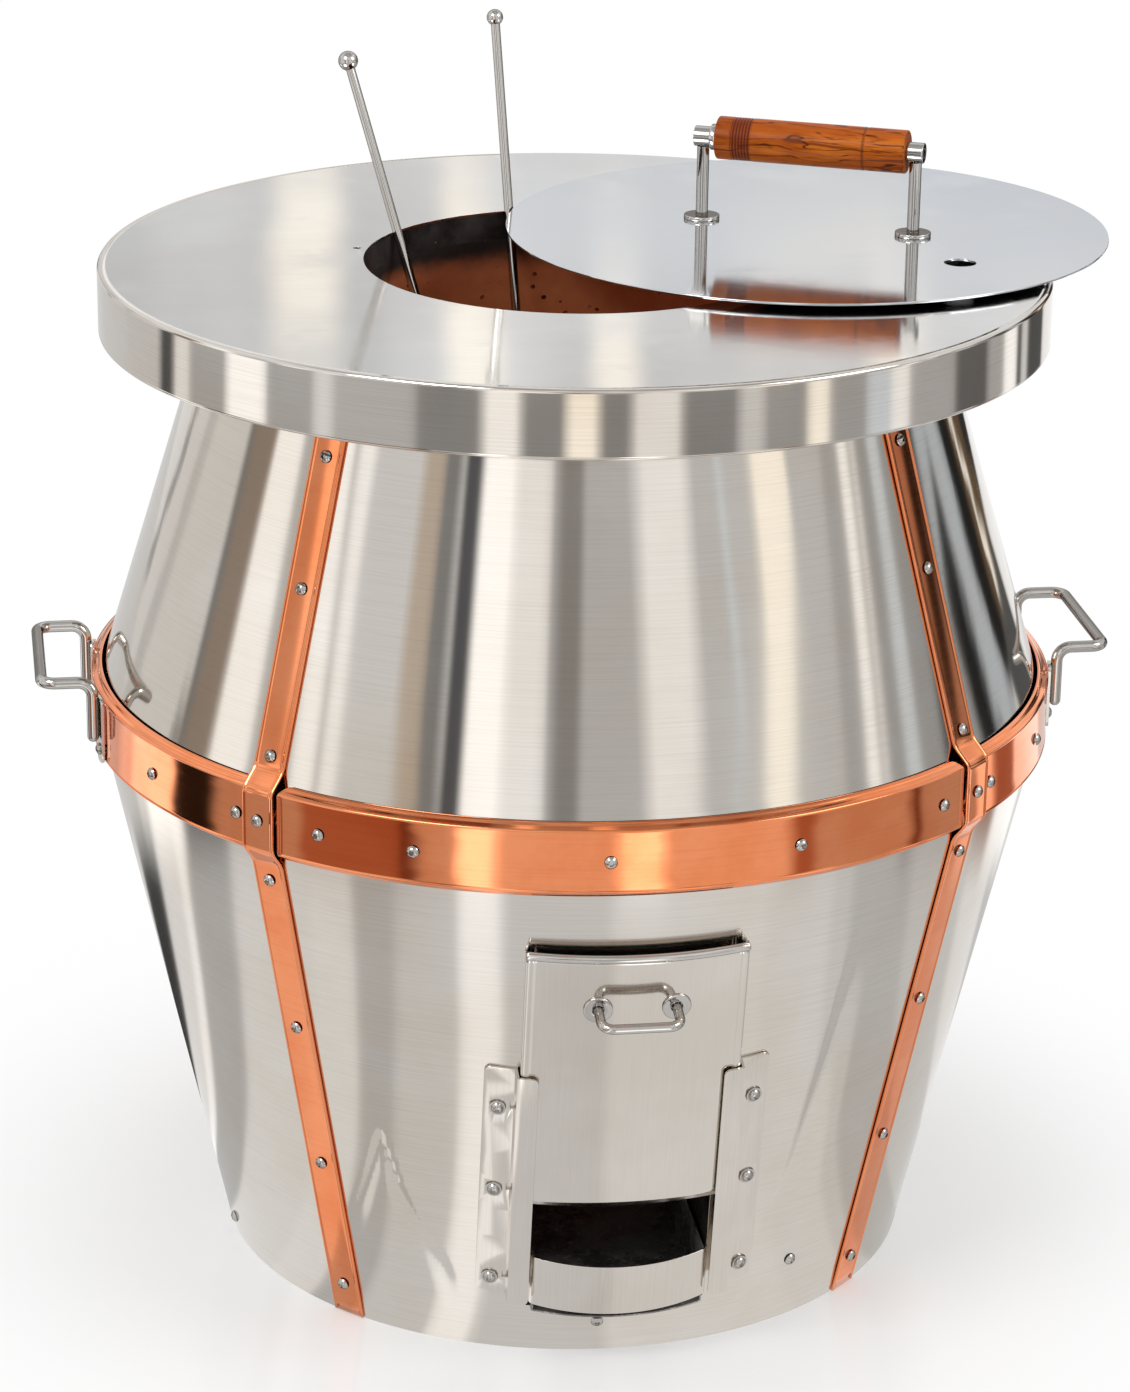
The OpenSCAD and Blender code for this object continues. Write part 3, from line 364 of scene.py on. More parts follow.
def make_materials():
    bright, warm = (0.72, 0.68, 0.63), (0.69, 0.63, 0.56)
    satin, dull = (0.71, 0.665, 0.615), (0.65, 0.6, 0.54)
    return {
        "shell": steel("polished_shell_steel", bright, warm, 0.07, "round", 0.6, 0.03, 0.3),
        "satin_shell": steel("satin_shell_steel", bright, warm, 0.13, "round", 0.6, 0.06, 0.3),
        "deck": steel("brushed_deck_steel", (0.76, 0.755, 0.75), (0.73, 0.71, 0.69), 0.08, "across", 0.7,
                      0.03, 0.5, 0.05, 0.6 * MM),
        "lid": steel("brushed_lid_steel", (0.66, 0.68, 0.71), (0.675, 0.682, 0.695), 0.08, "across", 0.6,
                     0.02, 0.5, 0.05, 0.1 * MM),
        "rim": steel("rim_steel", bright, warm, 0.08, "round", 0.6, 0.05, 0.2, 0.15),
        "satin": steel("satin_steel", satin, dull, 0.15, "along", grain=0.06),
        "door": steel("door_steel", satin, dull, 0.09, "along", grain=0.03, lines_depth=0.06),
        "plain": steel("mill_steel", (0.55, 0.55, 0.55), (0.5, 0.49, 0.48), 0.38),
        "rod": steel("rod_steel", (0.62, 0.6, 0.57), (0.52, 0.495, 0.47), 0.08, tint=(0.3, 0.29, 0.28)),
        "screw": steel("screw_steel", (0.55, 0.53, 0.5), (0.46, 0.43, 0.4), 0.1, tint=(0.3, 0.27, 0.25)),
        "copper": copper("polished_copper"),
        "soot": soot("sooty_steel", (0.012, 0.011, 0.011), (0.05, 0.046, 0.044), 0.3, 0.69),
        # The ash pan's soot is paler than the collar's. Its colour is raised to stand in for light that
        # hardly reaches inside the fire opening, so it is painted light as well as ash.
        "pan": soot("ash_pan_steel_painted_light", (0.1, 0.096, 0.094), (0.36, 0.345, 0.335), 0.16, 0.6),
        "clay": clay("terracotta"),
        "iron": crumbly("cast_iron", (0.02, 0.02, 0.02), (0.055, 0.05, 0.048), 90.0, 0.5 * MM),
        "refractory": crumbly("refractory", (0.36, 0.3, 0.23), (0.55, 0.48, 0.38), 40.0, 1.0 * MM),
        "fibre": crumbly("ceramic_fibre", (0.62, 0.58, 0.5), (0.83, 0.8, 0.73), 120.0, 2.0 * MM),
        "wood": wood("grip_wood"),
    }


def wood(name):
    """Lacquered hardwood: the grain runs along the grip, with dark streaks and a burnt ringed band."""
    material, net, shader = new_material(name)
    place, _ = net.object_xyz()
    level = net.add("ShaderNodeVectorRotate", {"rotation_type": "Z_AXIS"}, Vector=place, Center=grip_mid,
                    Angle=-grip_turn).outputs[0]
    local = net.add("ShaderNodeVectorMath", {"operation": "SUBTRACT"}, i0=level, i1=grip_mid).outputs[0]
    along, _, height = net.split(local)
    bent = net.noise(net.stretched(local, (9.0, 30.0, 30.0)), 1.0, 3.0, 0.55)
    streak = net.noise(net.stretched(local, (13.0, 190.0, 190.0)), 1.0, 4.0, 0.6, 0.9)
    vein = net.product(net.noise(net.stretched(local, (9.0, 45.0, 45.0)), 1.0, 3.0, 0.5, 0.3), 6.5)
    vein = net.math("PINGPONG", net.math("MULTIPLY_ADD", height, 130.0, vein), 0.5)
    vein = net.product(net.remap(vein, 0.02, 0.13, 0.92, 0.0), net.remap(streak, 0.4, 0.52, 0.3, 1.0))
    fine = net.noise(net.stretched(local, (60.0, 1100.0, 1100.0)), 1.0, 2.0, 0.6)
    browns = [(0.3, (0.2, 0.035, 0.003)), (0.5, (0.38, 0.078, 0.005)), (0.7, (0.56, 0.145, 0.011))]
    tone = net.ramp(bent, browns)
    tone = net.mix(net.remap(streak, 0.53, 0.62, 0.0, 0.75), tone, (0.12, 0.018, 0.003, 1))
    tone = net.mix(vein, tone, (0.05, 0.009, 0.002, 1))
    tone = net.mix(net.remap(fine, 0.5, 0.72, 0.0, 0.4), tone, (0.14, 0.03, 0.008, 1))
    low, high = BAND_FROM - grip_half, BAND_TO - grip_half
    band = net.between(along, low, low + 1.5 * MM, high - 1 * MM, high + 0.5 * MM)
    ring = net.product(net.math("SUBTRACT", along, low), BAND_TURNS / (BAND_TO - BAND_FROM))
    band = net.product(band, net.remap(net.math("SINE", ring), -0.6, 0.4, 0.5, 0.93))
    tone = net.mix(band, tone, (0.1, 0.014, 0.006, 1))
    scribe = grip_half - SCRIBE_AT
    line = net.between(along, scribe - 2.5 * MM, scribe - 1.5 * MM, scribe, scribe + 1 * MM)
    tone = net.mix(net.product(line, 0.55), tone, (0.1, 0.03, 0.012, 1))
    normal = net.bump(0.25, 0.3 * MM, net.math("ADD", streak, fine))
    finish_material(net, shader, tone, net.math("MULTIPLY_ADD", fine, 0.15, 0.3), normal)
    shader.inputs["Specular IOR Level"].default_value = 0.06
    shader.inputs["Coat Weight"].default_value = 0.09
    shader.inputs["Coat Roughness"].default_value = 0.2
    return material


# Mesh helpers

def grid_object(name, rows, wrap_across=False, wrap_along=False, skip=None):
    """An object whose faces join a grid of points. skip(j, i) leaves a face out."""
    across, along = len(rows[0]), len(rows)
    faces = []
    for j in range(along if wrap_along else along - 1):
        for i in range(across if wrap_across else across - 1):
            if skip and skip(j, i):
                continue
            k, m = (j + 1) % along, (i + 1) % across
            faces.append((j * across + i, j * across + m, k * across + m, k * across + i))
    mesh = bpy.data.meshes.new(name)
    mesh.from_pydata([p for row in rows for p in row], [], faces)
    return add_object(name, mesh)


def edit(piece, change):
    """Changes a piece's mesh by a function of its bmesh."""
    bm = bmesh.new()
    bm.from_mesh(piece.data)
    change(bm)
    bm.to_mesh(piece.data)
    bm.free()


def drop_loose(bm):
    """Takes away the points that no face uses."""
    for v in [v for v in bm.verts if not v.link_faces]:
        bm.verts.remove(v)


def face_out(bm):
    bmesh.ops.recalc_face_normals(bm, faces=bm.faces)


def round_edges(piece, width):
    soften = piece.modifiers.new("edges", "BEVEL")
    soften.width = width
    soften.segments = 2
    soften.limit_method = "ANGLE"
    soften.angle_limit = radians(35)
    soften.harden_normals = True


def finish_piece(piece, material, body, replaced, edge=0.4 * MM, thickness=0.0):
    """Rounds the edges, smooths the shading and fixes the piece to its body."""
    piece.data.shade_smooth()
    if thickness:
        wall = piece.modifiers.new("wall", "SOLIDIFY")
        wall.thickness = thickness
        wall.offset = -1
        wall.use_even_offset = True
    if edge:
        round_edges(piece, edge)
    piece.data.materials.append(material)
    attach(piece, body)
    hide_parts(*replaced)


def span(a, b, steps):
    return [a + (b - a) * i / steps for i in range(steps + 1)]


def whole_turn(steps):
    return [2 * pi * i / steps for i in range(steps)]


def smooth(t):
    t = min(1.0, max(0.0, t))
    return t * t * (3 - 2 * t)


def divided(line, step):
    """The same line of points with its long stretches divided."""
    out = [line[0]]
    for before, after in zip(line, line[1:]):
        count = max(1, round((Vector(after) - Vector(before)).length / step))
        out += [tuple(Vector(before).lerp(Vector(after), i / count)) for i in range(1, count + 1)]
    return out


def fillet(line, reach, steps):
    """The same line of points with its inner corners rounded."""
    out = [line[0]]
    for before, corner, after in zip(line, line[1:], line[2:]):
        corner = Vector(corner)
        back, ahead = Vector(before) - corner, Vector(after) - corner
        p = corner + back.normalized() * min(reach, back.length * 0.45)
        q = corner + ahead.normalized() * min(reach, ahead.length * 0.45)
        for t in span(0, 1, steps):
            out.append(tuple(p * (1 - t) ** 2 + corner * 2 * t * (1 - t) + q * t ** 2))
    return out + [line[-1]]


def on_round(azimuth, radius, z):
    return Vector((radius * sin(azimuth), -radius * cos(azimuth), z))


def loft(name, rings):
    """A closed skin over a row of rings, with a flat cap at each end."""
    across = range(len(rings[0]))

    def cap(bm):
        bm.verts.ensure_lookup_table()
        bm.faces.new([bm.verts[i] for i in across])
        bm.faces.new([bm.verts[-1 - i] for i in across])
        face_out(bm)

    piece = grid_object(name, rings, wrap_across=True)
    edit(piece, cap)
    return piece


def turned(name, profile, columns, shift=None):
    """A closed ring with a profile of (radius, height) points. shift(azimuth, z) moves points inwards."""
    rows = [[on_round(a, r - (shift(a, z) if shift else 0), z) for a in columns] for r, z in profile]
    return grid_object(name, rows, wrap_across=True, wrap_along=True)


def lathe(name, profile, place, steps=64):
    """A closed ring round the Z axis of place, with a profile of (radius, height) points."""
    rows = [[place @ on_round(a, r, z) for a in whole_turn(steps)] for r, z in profile]
    piece = grid_object(name, rows, wrap_across=True, wrap_along=True)
    edit(piece, face_out)
    return piece


# Shells

# The depth of the sheets' waves, and how far from the sheets' edges they fade
RIPPLE, CALM, CALM_TOP = 1.2 * MM, 30 * MM, 50 * MM
# Angles in radians: where the columns beside the fire opening begin to lean, how softly, how wide the even
# strip beside the opening is, and how softly it ends
UPRIGHT, LEANING, EVEN, UNEVEN = 0.28, 0.5, 0.06, 0.12
# The rim's skin stands over the disc's edge by the lift
RIM_BEND, RIM_RETURN, LIFT = 3 * MM, 12 * MM, 0.05 * MM
# Both dents beside the fire door are this deep. The left one lies below a line of azimuths in degrees and
# heights in millimetres, and the right one to the right of a line of heights and azimuths.
DENT = 2.2 * MM
CREASE = [(-42.9, 92), (-38.2, 150), (-34.3, 210), (-32.0, 155), (-28.2, 103), (-23.7, 61)]
STREAK = [(90, 22.5), (170, 25.3), (267, 27.4), (363, 29.0), (440, 30.2)]


def ripple(azimuth, z, seed):
    """How far soft waves press rolled sheet in: long up the slope, short across it."""
    p = Vector((sin(azimuth) * 2.6, cos(azimuth) * 2.6, z * 1.6 + seed))
    q = Vector((sin(azimuth) * 6.5, cos(azimuth) * 6.5, z * 2.2 + seed + 7))
    return RIPPLE * max(0, 0.5 + 0.7 * noise.noise(p) + 0.3 * noise.noise(q))


def along_line(line, at):
    """The value at a place on a line of (place, value) points, or None past its ends."""
    for (p0, v0), (p1, v1) in zip(line, line[1:]):
        if p0 <= at <= p1:
            return v0 + (v1 - v0) * (at - p0) / (p1 - p0)
    return None


def faded(line, at, first, last):
    """Falls to 0 at a line's ends, over a first and a last length."""
    return smooth((at - line[0][0]) / first) * smooth((line[-1][0] - at) / last)


def dent(azimuth, z):
    """How far the lower shell is pressed in beside the fire door."""
    turn, height, deep = degrees(azimuth), z / MM, 0.0
    top = along_line(CREASE, turn)
    if top is not None:
        below = top - height
        deep += faded(CREASE, turn, 4, 3) * smooth((below + 3) / 9) * (1 - smooth(below / 55))
    middle = along_line(STREAK, height)
    if middle is not None:
        side = radians(turn - middle) * low_r(z) / MM
        deep += faded(STREAK, height, 60, 120) * smooth((side + 4) / 10) * (1 - smooth(side / 45))
    return DENT * deep


def lower_shell(material):
    """The lower sheet, with the fire opening cut out. Its columns stand upright beside the opening, and lean
    with the cone further round."""
    reference = low_r(fire_z0)
    open_az = asin(fire_x / reference)
    front = span(-open_az, open_az, 36)
    columns = front + span(open_az, 2 * pi - open_az, 560)[1:-1]
    foot_rows, open_rows = 12, 50
    opening = range(foot_rows, foot_rows + open_rows)
    heights = span(0, fire_z0, foot_rows) + span(fire_z0, fire_z1, open_rows)[1:]
    heights += span(fire_z1, waist_z, 60)[1:]
    rows = []
    for z in heights:
        row = []
        for a in columns:
            near = a if a <= pi else a - 2 * pi
            lock = 1 - smooth((abs(near) - UPRIGHT) / LEANING)
            straight = asin(max(-1, min(1, sin(near) * reference / low_r(z)))) if lock else 0.0
            azimuth = near + lock * (straight - near)
            soft = smooth((abs(near) - open_az - EVEN) / UNEVEN) * smooth((waist_z - z) / CALM)
            inset = smooth(z / CALM) * (soft * ripple(azimuth, z, 3.0) + dent(azimuth, z))
            row.append(on_round(azimuth, low_r(z) - inset, z))
        rows.append(row)
    piece = grid_object("lower_shell_sheet", rows, wrap_across=True,
                        skip=lambda j, i: j in opening and i < len(front) - 1)
    edit(piece, drop_loose)
    finish_piece(piece, material, "barrel", ["lower_shell"], thickness=sheet_t)


def upper_shell(material):
    tilt = atan((waist_r - neck_r) / (shell_top_z - waist_z))
    wall = sheet_t / cos(tilt)
    outer = [(up_r(z), z) for z in span(waist_z, shell_top_z, 60)]
    inner = [(up_r(z) - wall, z) for z in span(shell_top_z, waist_z, 30)]

    def shift(azimuth, z):
        soft = smooth((z - waist_z) / CALM) * smooth((shell_top_z - z) / CALM_TOP)
        return soft * ripple(azimuth, z, 11.0)

    piece = turned("upper_shell_sheet", outer + inner, whole_turn(600), shift)
    finish_piece(piece, material, "barrel", ["upper_shell"])


def rim(material):
    """The deck's skirt with its bent edge, its return and a hem line, over the disc's own edge."""
    deck_r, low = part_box("deck_rim")[1].x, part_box("deck_rim")[0].z
    top = body_h - RIM_BEND
    bend = [(deck_r - RIM_BEND * (1 - cos(t)), top + RIM_BEND * sin(t)) for t in span(0, pi / 2, 10)]
    over = [(deck_r - 7 * MM, body_h), (deck_r - 7 * MM, body_h - 0.1 * MM)]
    hem = ((1.6, 0), (0.7, 0.25), (0.15, 0.8), (0, 1.4), (0.2, 1.9), (0.05, 2.3), (0, 2.6), (0, 2.9))
    skirt = [(deck_r - RIM_RETURN, low)] + [(deck_r - h * MM, low + z * MM) for h, z in hem]
    under = [(deck_r - sheet_t, top), (deck_r - sheet_t, low + sheet_t), (deck_r - RIM_RETURN, low + sheet_t)]
    near = (deck_r, top - 0.3 * MM)
    profile = skirt + divided([skirt[-1], near], 6 * MM)[1:] + bend + over + under
    lifted = [(r, z + LIFT if z > top else z) for r, z in profile]
    piece = turned("deck_rim_sheet", lifted, whole_turn(360))
    finish_piece(piece, material, "barrel", ["deck_rim"], 0.0)


# Copper

# The most that the belt's edges are bent in, the depth of its waves and of the groove along its edges, and
# the height and width of the bead beside that
BELT_IN, BELT_WAVE, GROOVE, BEAD_H, BEAD_W = 8 * MM, 0.35 * MM, 0.7 * MM, 0.8 * MM, 1.3 * MM
# Widths of the finely divided strips along the belt's edges and at its ends
FINE, FINE_END = 10 * MM, 15 * MM
STRAP_CROWN = 0.25 * MM


def belt_radius(z):
    """Outer radius of the belt at a height above its middle, with its edges bent in to the shells."""
    over, soft = abs(z) - belt_h / 2 + belt_bevel_h, 0.7 * MM
    bend = 0.0 if over < -soft else (over + soft) ** 2 / (4 * soft) if over < soft else over
    edge = waist_z + copysign(belt_h / 2, z)
    reach = belt_out_r - belt_t - (up_r(edge) if z > 0 else low_r(edge)) - 2 * fit_gap
    return belt_out_r - bend * min(reach, BELT_IN) / belt_bevel_h


def bead(away):
    """How much of the beaded edge's height is left at a distance from its ridge."""
    return exp(-(away / BEAD_W) ** 2)


def belt(node, middle, half, rounded, material):
    """One part of the belt, with soft waves in its face. A front or back part has rounded, beaded ends."""
    edge, length = belt_h / 2, 2 * half * belt_out_r
    fine = edge - FINE
    heights = span(-edge, -fine, 30) + span(-fine, fine, 12)[1:-1] + span(fine, edge, 30)
    steps = [e * MM for e in (0, 0.4, 0.9, 1.4, 1.9, 2.5, 3.2, 3.9, 4.6, 5.5, 6.5, 8, 10)]
    marks = steps + span(FINE_END, length - FINE_END, 180) + [length - e for e in reversed(steps)]
    rows = []
    for mark in marks:
        azimuth = middle - half + mark / belt_out_r
        off = min(mark, length - mark)
        cut = belt_corner_r - min(off, belt_corner_r) if rounded else 0.0
        squeeze = 1 - (belt_corner_r - sqrt(belt_corner_r ** 2 - cut ** 2)) / edge
        outer, inner = [], []
        for h in heights:
            z = h * squeeze
            calm = smooth((edge - 7 * MM - abs(z)) / (8 * MM)) * smooth(off / FINE_END)
            wave = noise.noise(Vector((azimuth * 7, z * 8, middle)))
            wave += 0.5 * noise.noise(Vector((azimuth * 17, z * 20, 5)))
            past = abs(z) - edge + belt_bevel_h
            ridge = max(bead(past - 0.3 * MM), bead(off - 2.2 * MM) if rounded else 0.0)
            inside = smooth((1 * MM - past) / (2 * MM)) * smooth((off + 1 * MM) / (3 * MM))
            dip = BEAD_H * (1 - ridge) * inside + calm * BELT_WAVE * (0.5 + 0.5 * wave)
            dip += GROOVE * bead(1.4 * (abs(z) - edge + 2.2 * MM)) * smooth(off / (4 * MM))
            outer.append(on_round(azimuth, belt_radius(z) - dip, waist_z + z))
            inner.append(on_round(azimuth, belt_radius(z) - belt_t, waist_z + z))
        rows.append(outer + inner[::-1])
    finish_piece(loft(node + "_sheet", rows), material, "barrel", [node], 0.5 * MM)


def belts(material):
    short = pi / 4 - (strap_w / 2 + strap_side_gap) / belt_out_r
    long = pi / 4 + (belt_tuck - strap_w / 2) / belt_out_r
    belt("belt_front", 0.0, short, True, material)
    belt("belt_right", pi / 2, long, False, material)
    belt("belt_back", pi, short, True, material)
    belt("belt_left", -pi / 2, long, False, material)


def strap(node, azimuth, material):
    """A copper strap with beaded, eased edges, from under the deck over the belt to the floor."""
    z0, z1 = waist_z - belt_h / 2, waist_z + belt_h / 2
    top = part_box(node)[1].z
    inner = [(up_r(z), z) for z in (top, z1 + strap_step)]
    inner += [(belt_out_r, z) for z in (z1 - belt_bevel_h, z0 + belt_bevel_h)]
    inner += [(low_r(z), z) for z in (z0 - strap_step, 1 * MM)]
    line = divided(fillet([(r + fit_gap, z) for r, z in inner], 5 * MM, 6), 10 * MM)
    half, ease, foot = strap_w / 2, 0.9 * MM, 0.3 * MM
    left = [(-half, foot)]
    left += [(-half + ease * (1 - cos(t)), strap_t - ease * (1 - sin(t))) for t in span(0, pi / 2, 5)]
    left += [(-half + x * MM, strap_t) for x in (1.2, 1.6, 2.0, 2.4, 2.9, 3.5)]
    middle = [(x, strap_t) for x in span(-half + 5 * MM, half - 5 * MM, 8)]
    section = left + middle + [(-x, h) for x, h in left[::-1]] + [(half - foot, 0), (foot - half, 0)]
    turn = Matrix.Rotation(azimuth, 4, "Z")
    rows = []
    for r, z in line:
        row = []
        for x, h in section:
            crown = BEAD_H * (1 - bead(half - 1.3 * MM - abs(x))) * smooth((half - abs(x)) / (1.2 * MM))
            crown += STRAP_CROWN * (x / half) ** 2
            out = r + h - (crown if h > foot else 0.0)
            row.append(turn @ Vector((x, -sqrt(out ** 2 - x ** 2), z)))
        rows.append(row)
    finish_piece(loft(node + "_sheet", rows), material, "barrel", [node], 0.0)


def straps(material):
    for side, azimuth in (("front_left", -45), ("front_right", 45), ("back_right", 135), ("back_left", -135)):
        strap("strap_" + side, radians(azimuth), material)


# Fire door

# How deep the door's face is pressed in, and the depth of its waves
DOOR_PRESS, DOOR_WAVE = 1.1 * MM, 0.3 * MM


def on_slope(x, y, s):
    """A point in front of the shell: x to the right, y back and s up, turned to the shell's slope."""
    return Vector((x, y * cos(low_tilt) - s * sin(low_tilt) - base_r, y * sin(low_tilt) + s * cos(low_tilt)))


def on_front(x, depth, s):
    """A point of the door: x to the right, its depth behind the door's curve, and s up the slope."""
    return on_slope(x, door_curve_r - door_off - sqrt((door_curve_r - depth) ** 2 - x ** 2), s)


def door(material, rod):
    """The door's sheet, pressed in between its rounded sides, and the bead rolled along its top."""
    s0, s1 = door_z0 / cos(low_tilt), door_z1 / cos(low_tilt) - bead_r
    half = door_w / 2
    bend = ((0, 2.2), (0.3, 1.0), (1.1, 0.3), (2.4, 0), (4.6, 0), (5.8, 0.15), (6.8, 0.6), (7.6, 1.0))
    side = [(-half, door_fold)] + [(x * MM - half, depth * MM) for x, depth in bend]
    side += [(9 * MM - half, DOOR_PRESS)]
    face = [(x, DOOR_PRESS) for x in span(-half + 12 * MM, half - 12 * MM, 20)]
    outer = side + face + [(-x, depth) for x, depth in side[::-1]]
    inner = [(max(-half + door_t, min(half - door_t, x)), depth + door_t if depth < door_fold else depth)
             for x, depth in outer[::-1]]
    rows = []
    for s in span(s0, s1, 40):
        row = []
        for x, depth in outer:
            wave = DOOR_WAVE * (0.5 + 0.5 * noise.noise(Vector((x * 9, s * 7, 2))))
            row.append(on_front(x, depth + (wave if depth == DOOR_PRESS else 0.0), s))
        rows.append(row + [on_front(x, depth, s) for x, depth in inner])
    finish_piece(loft("door_sheet", rows), material, "door", ["door_panel"], 0.0)

    end = asin(half / door_curve_r)
    reach = door_curve_r - bead_set
    steps = [(0, 0.62), (0.3, 0.82), (0.9, 0.95), (1.8, 1.0)]
    ends = [(e * MM / reach - end, k) for e, k in steps]
    marks = ends + [(a, 1.0) for a in span(-end, end, 40)[2:-2]] + [(-a, k) for a, k in reversed(ends)]
    rows = []
    for a, k in marks:
        row = []
        for t in whole_turn(24):
            radius = reach + bead_r * k * cos(t)
            y = door_curve_r - door_off - radius * cos(a)
            row.append(on_slope(radius * sin(a), y, s1 + bead_r * k * sin(t)))
        rows.append(row)
    finish_piece(loft("door_bead", rows), rod, "door", ["door_panel"], 0.0)


def roses(material):
    """Round washers with a rolled rim under the feet of the door's handle."""
    foot = asin(door_handle_w / 2 / door_curve_r)
    profile = [(4.6, 0), (4.6, 1.1), (5.2, 1.5), (8.6, 1.5), (9.4, 1.25), (10.4, 1.3), (11.3, 1.2),
               (11.9, 0.7), (12, 0)]
    profile = [(r * MM, h * MM) for r, h in divided(profile, 1)]
    for side, sign in (("left", -1), ("right", 1)):
        seat = on_front(sign * door_handle_w / 2, DOOR_PRESS - fit_gap, door_handle_z / cos(low_tilt))
        place = Matrix.Translation(seat) @ Matrix.Rotation(low_tilt, 4, "X")
        place = place @ Matrix.Rotation(sign * foot, 4, "Z") @ Matrix.Rotation(pi / 2, 4, "X")
        piece = lathe("door_rose_" + side, profile, place)
        finish_piece(piece, material, "door", ["door_handle_roses"], 0.0)


# Grip and bosses

def tube(hole, wide, low, high, reach, steps, step):
    """The profile of a tube with eased rims, finely divided."""
    return divided(fillet([(hole, low), (wide, low), (wide, high), (hole, high)], reach, steps), step)


def grip(material):
    """A turned grip with eased ends, ring grooves in its dark band and a scribed line."""
    bore = min(off_grip(p) for p in points_of("wood_grip"))
    profile = []
    for r, h in tube(bore, grip_r, -grip_half, grip_half, 1.6 * MM, 6, 0.45 * MM):
        along = h + grip_half
        groove = 0.0
        if BAND_FROM < along < BAND_TO:
            turn = (along - BAND_FROM) / (BAND_TO - BAND_FROM) * BAND_TURNS
            groove = 0.45 * MM * max(0.0, sin(turn)) + 0.1 * MM
        if abs(2 * grip_half - along - SCRIBE_AT) < 0.8 * MM:
            groove = 0.35 * MM
        profile.append((r - groove if r > grip_r - 0.1 * MM else r, h))
    piece = lathe("turned_grip", profile, grip_place, 72)
    finish_piece(piece, material, "grip", ["wood_grip"], 0.0)


def bosses(material):
    """Turned bosses with eased rims at the tops of the posts."""
    spots = points_of("lid_post_bosses")
    radii = [off_grip(p) for p in spots]
    hole, wide = min(radii), max(radii)
    for side, sign in (("left", -1), ("right", 1)):
        marks = [along_grip(p) for p in spots if along_grip(p) * sign > 0]
        profile = tube(hole, wide, min(marks), max(marks), 0.9 * MM, 5, 0.8 * MM)
        piece = lathe("turned_boss_" + side, profile, grip_place, 72)
        finish_piece(piece, material, "lid", ["lid_post_bosses"], 0.0)


# Carried-over nodes

def dress(node, material, edge):
    """Gives a CAD node its material, and rounds its edges if asked."""
    piece = nodes[node]
    piece.data.materials.clear()
    piece.data.materials.append(material)
    if edge:
        weld = piece.modifiers.new("weld", "WELD")
        weld.merge_threshold = 0.01 * MM
        round_edges(piece, edge)


DRESS = {
    "plain": ["base_pan", "neck_ring"],
    "deck": ["top_deck"],
    "lid": ["lid_plate"],
    "satin": ["door_rail_left", "door_rail_right", "handle_plates_left", "handle_plates_right",
              "ash_tray_front", "lid_ring"],
    "rod": ["side_handle_left", "side_handle_right", "door_handle", "lid_post_flanges", "lid_posts",
            "grip_axle", "grip_spacer", "skewer_left_rod", "skewer_left_ball", "skewer_right_rod",
            "skewer_right_ball"],
    "screw": ["belt_screws", "strap_screws", "base_screws", "rail_screws", "rail_washers", "handle_screws",
              "door_handle_nuts", "lid_nuts"],
    "soot": ["mouth_collar", "fire_duct"],
    "pan": ["ash_pan"],
    "clay": ["clay_pot"],
    "iron": ["fire_grate"],
    "refractory": ["hearth_floor", "hearth_left", "hearth_right", "hearth_back", "hearth_cap"],
    "fibre": ["fibre_blanket"],
}


# Radius of the rounded edges of carried-over nodes
EDGES = {
    "door_rail_left": 0.5 * MM, "door_rail_right": 0.5 * MM, "lid_plate": 0.4 * MM, "top_deck": 0.5 * MM,
    "handle_plates_left": 0.6 * MM, "handle_plates_right": 0.6 * MM, "ash_tray_front": 0.4 * MM,
    "lid_post_flanges": 0.6 * MM, "grip_spacer": 0.8 * MM,
}


# Studio

# Bright and dark cards round the object, as azimuths from the front in degrees and colours. The upper shell
# mirrors WIDE, the deck's rim FAR, the belt MIDDLE and the lower shell NEAR.
TAN, BROWN, BLUE = (0.6, 0.51, 0.42), (0.34, 0.28, 0.235), (0.76, 0.82, 0.88)
STEEL, DUN, WARM = (0.55, 0.59, 0.64), (0.13, 0.085, 0.05), (1.32, 1.25, 1.12)
RUST, EMBER = (0.36, 0.2, 0.14), (0.14, 0.05, 0.03)
WIDE = [
    (-180, 0.8), (-172, 0.1), (-166, 0.85), (-150, 0.4), (-147, 0.8), (-137, 0.62), (-133, 0.8),
    (-116, 0.25), (-114, BROWN), (-105, 1.3), (-92, 0.6), (-78, 1.3), (-70, 0.68), (-67.5, 1.2),
    (-62, 0.78), (-45, TAN), (-39, 0.26), (-33.5, 0.7), (-28, 1.45), (-20, 1.1), (-12, 0.42), (-6, 0.58),
    (7, 1.1), (15.5, 0.66), (22, BLUE), (23.5, 0.68), (30, WARM), (40.5, 0.66), (60, 0.48), (71, 1.3),
    (76.5, 0.5), (78.5, 1.0), (81, 0.4), (88, BLUE), (95, 0.4), (105, 0.02), (113, STEEL), (120, 0.02),
    (127, DUN), (130, WARM), (132, DUN), (138, 0.03), (148, 1.1),
]
FAR = [
    (-180, 0.7), (-118, 0.1), (-112, 1.0), (-106, 0.5), (-93, 1.4), (-81, 0.5), (-68, 0.9), (-63, 0.58),
    (-43, 0.3), (-28, 1.25), (-20, 0.3), (-10, WARM), (-3, 0.3), (4.5, 1.05), (15, 0.3), (28, 0.75),
    (34, 0.4), (44.5, WARM), (50, 0.44), (60, BLUE), (67, 1.15), (72.5, 0.5), (88, 0.15), (101, 0.5),
    (109, 1.3), (116, 0.1), (119, 0.8), (123, 0.1), (136, 1.0),
]
MIDDLE = [
    (-180, 0.7), (-128, 1.0), (-121, 1.7), (-103, 0.02), (-88, 0.5), (-66, RUST), (-43, EMBER), (-40, 0.62),
    (-30, 2.15), (-23, 0.82), (2, 2.1), (11, 0.85), (38, RUST), (44, 0.55), (69, EMBER), (72, 0.48),
    (90, 1.3), (98, RUST), (110, 1.3), (130, 0.75),
]
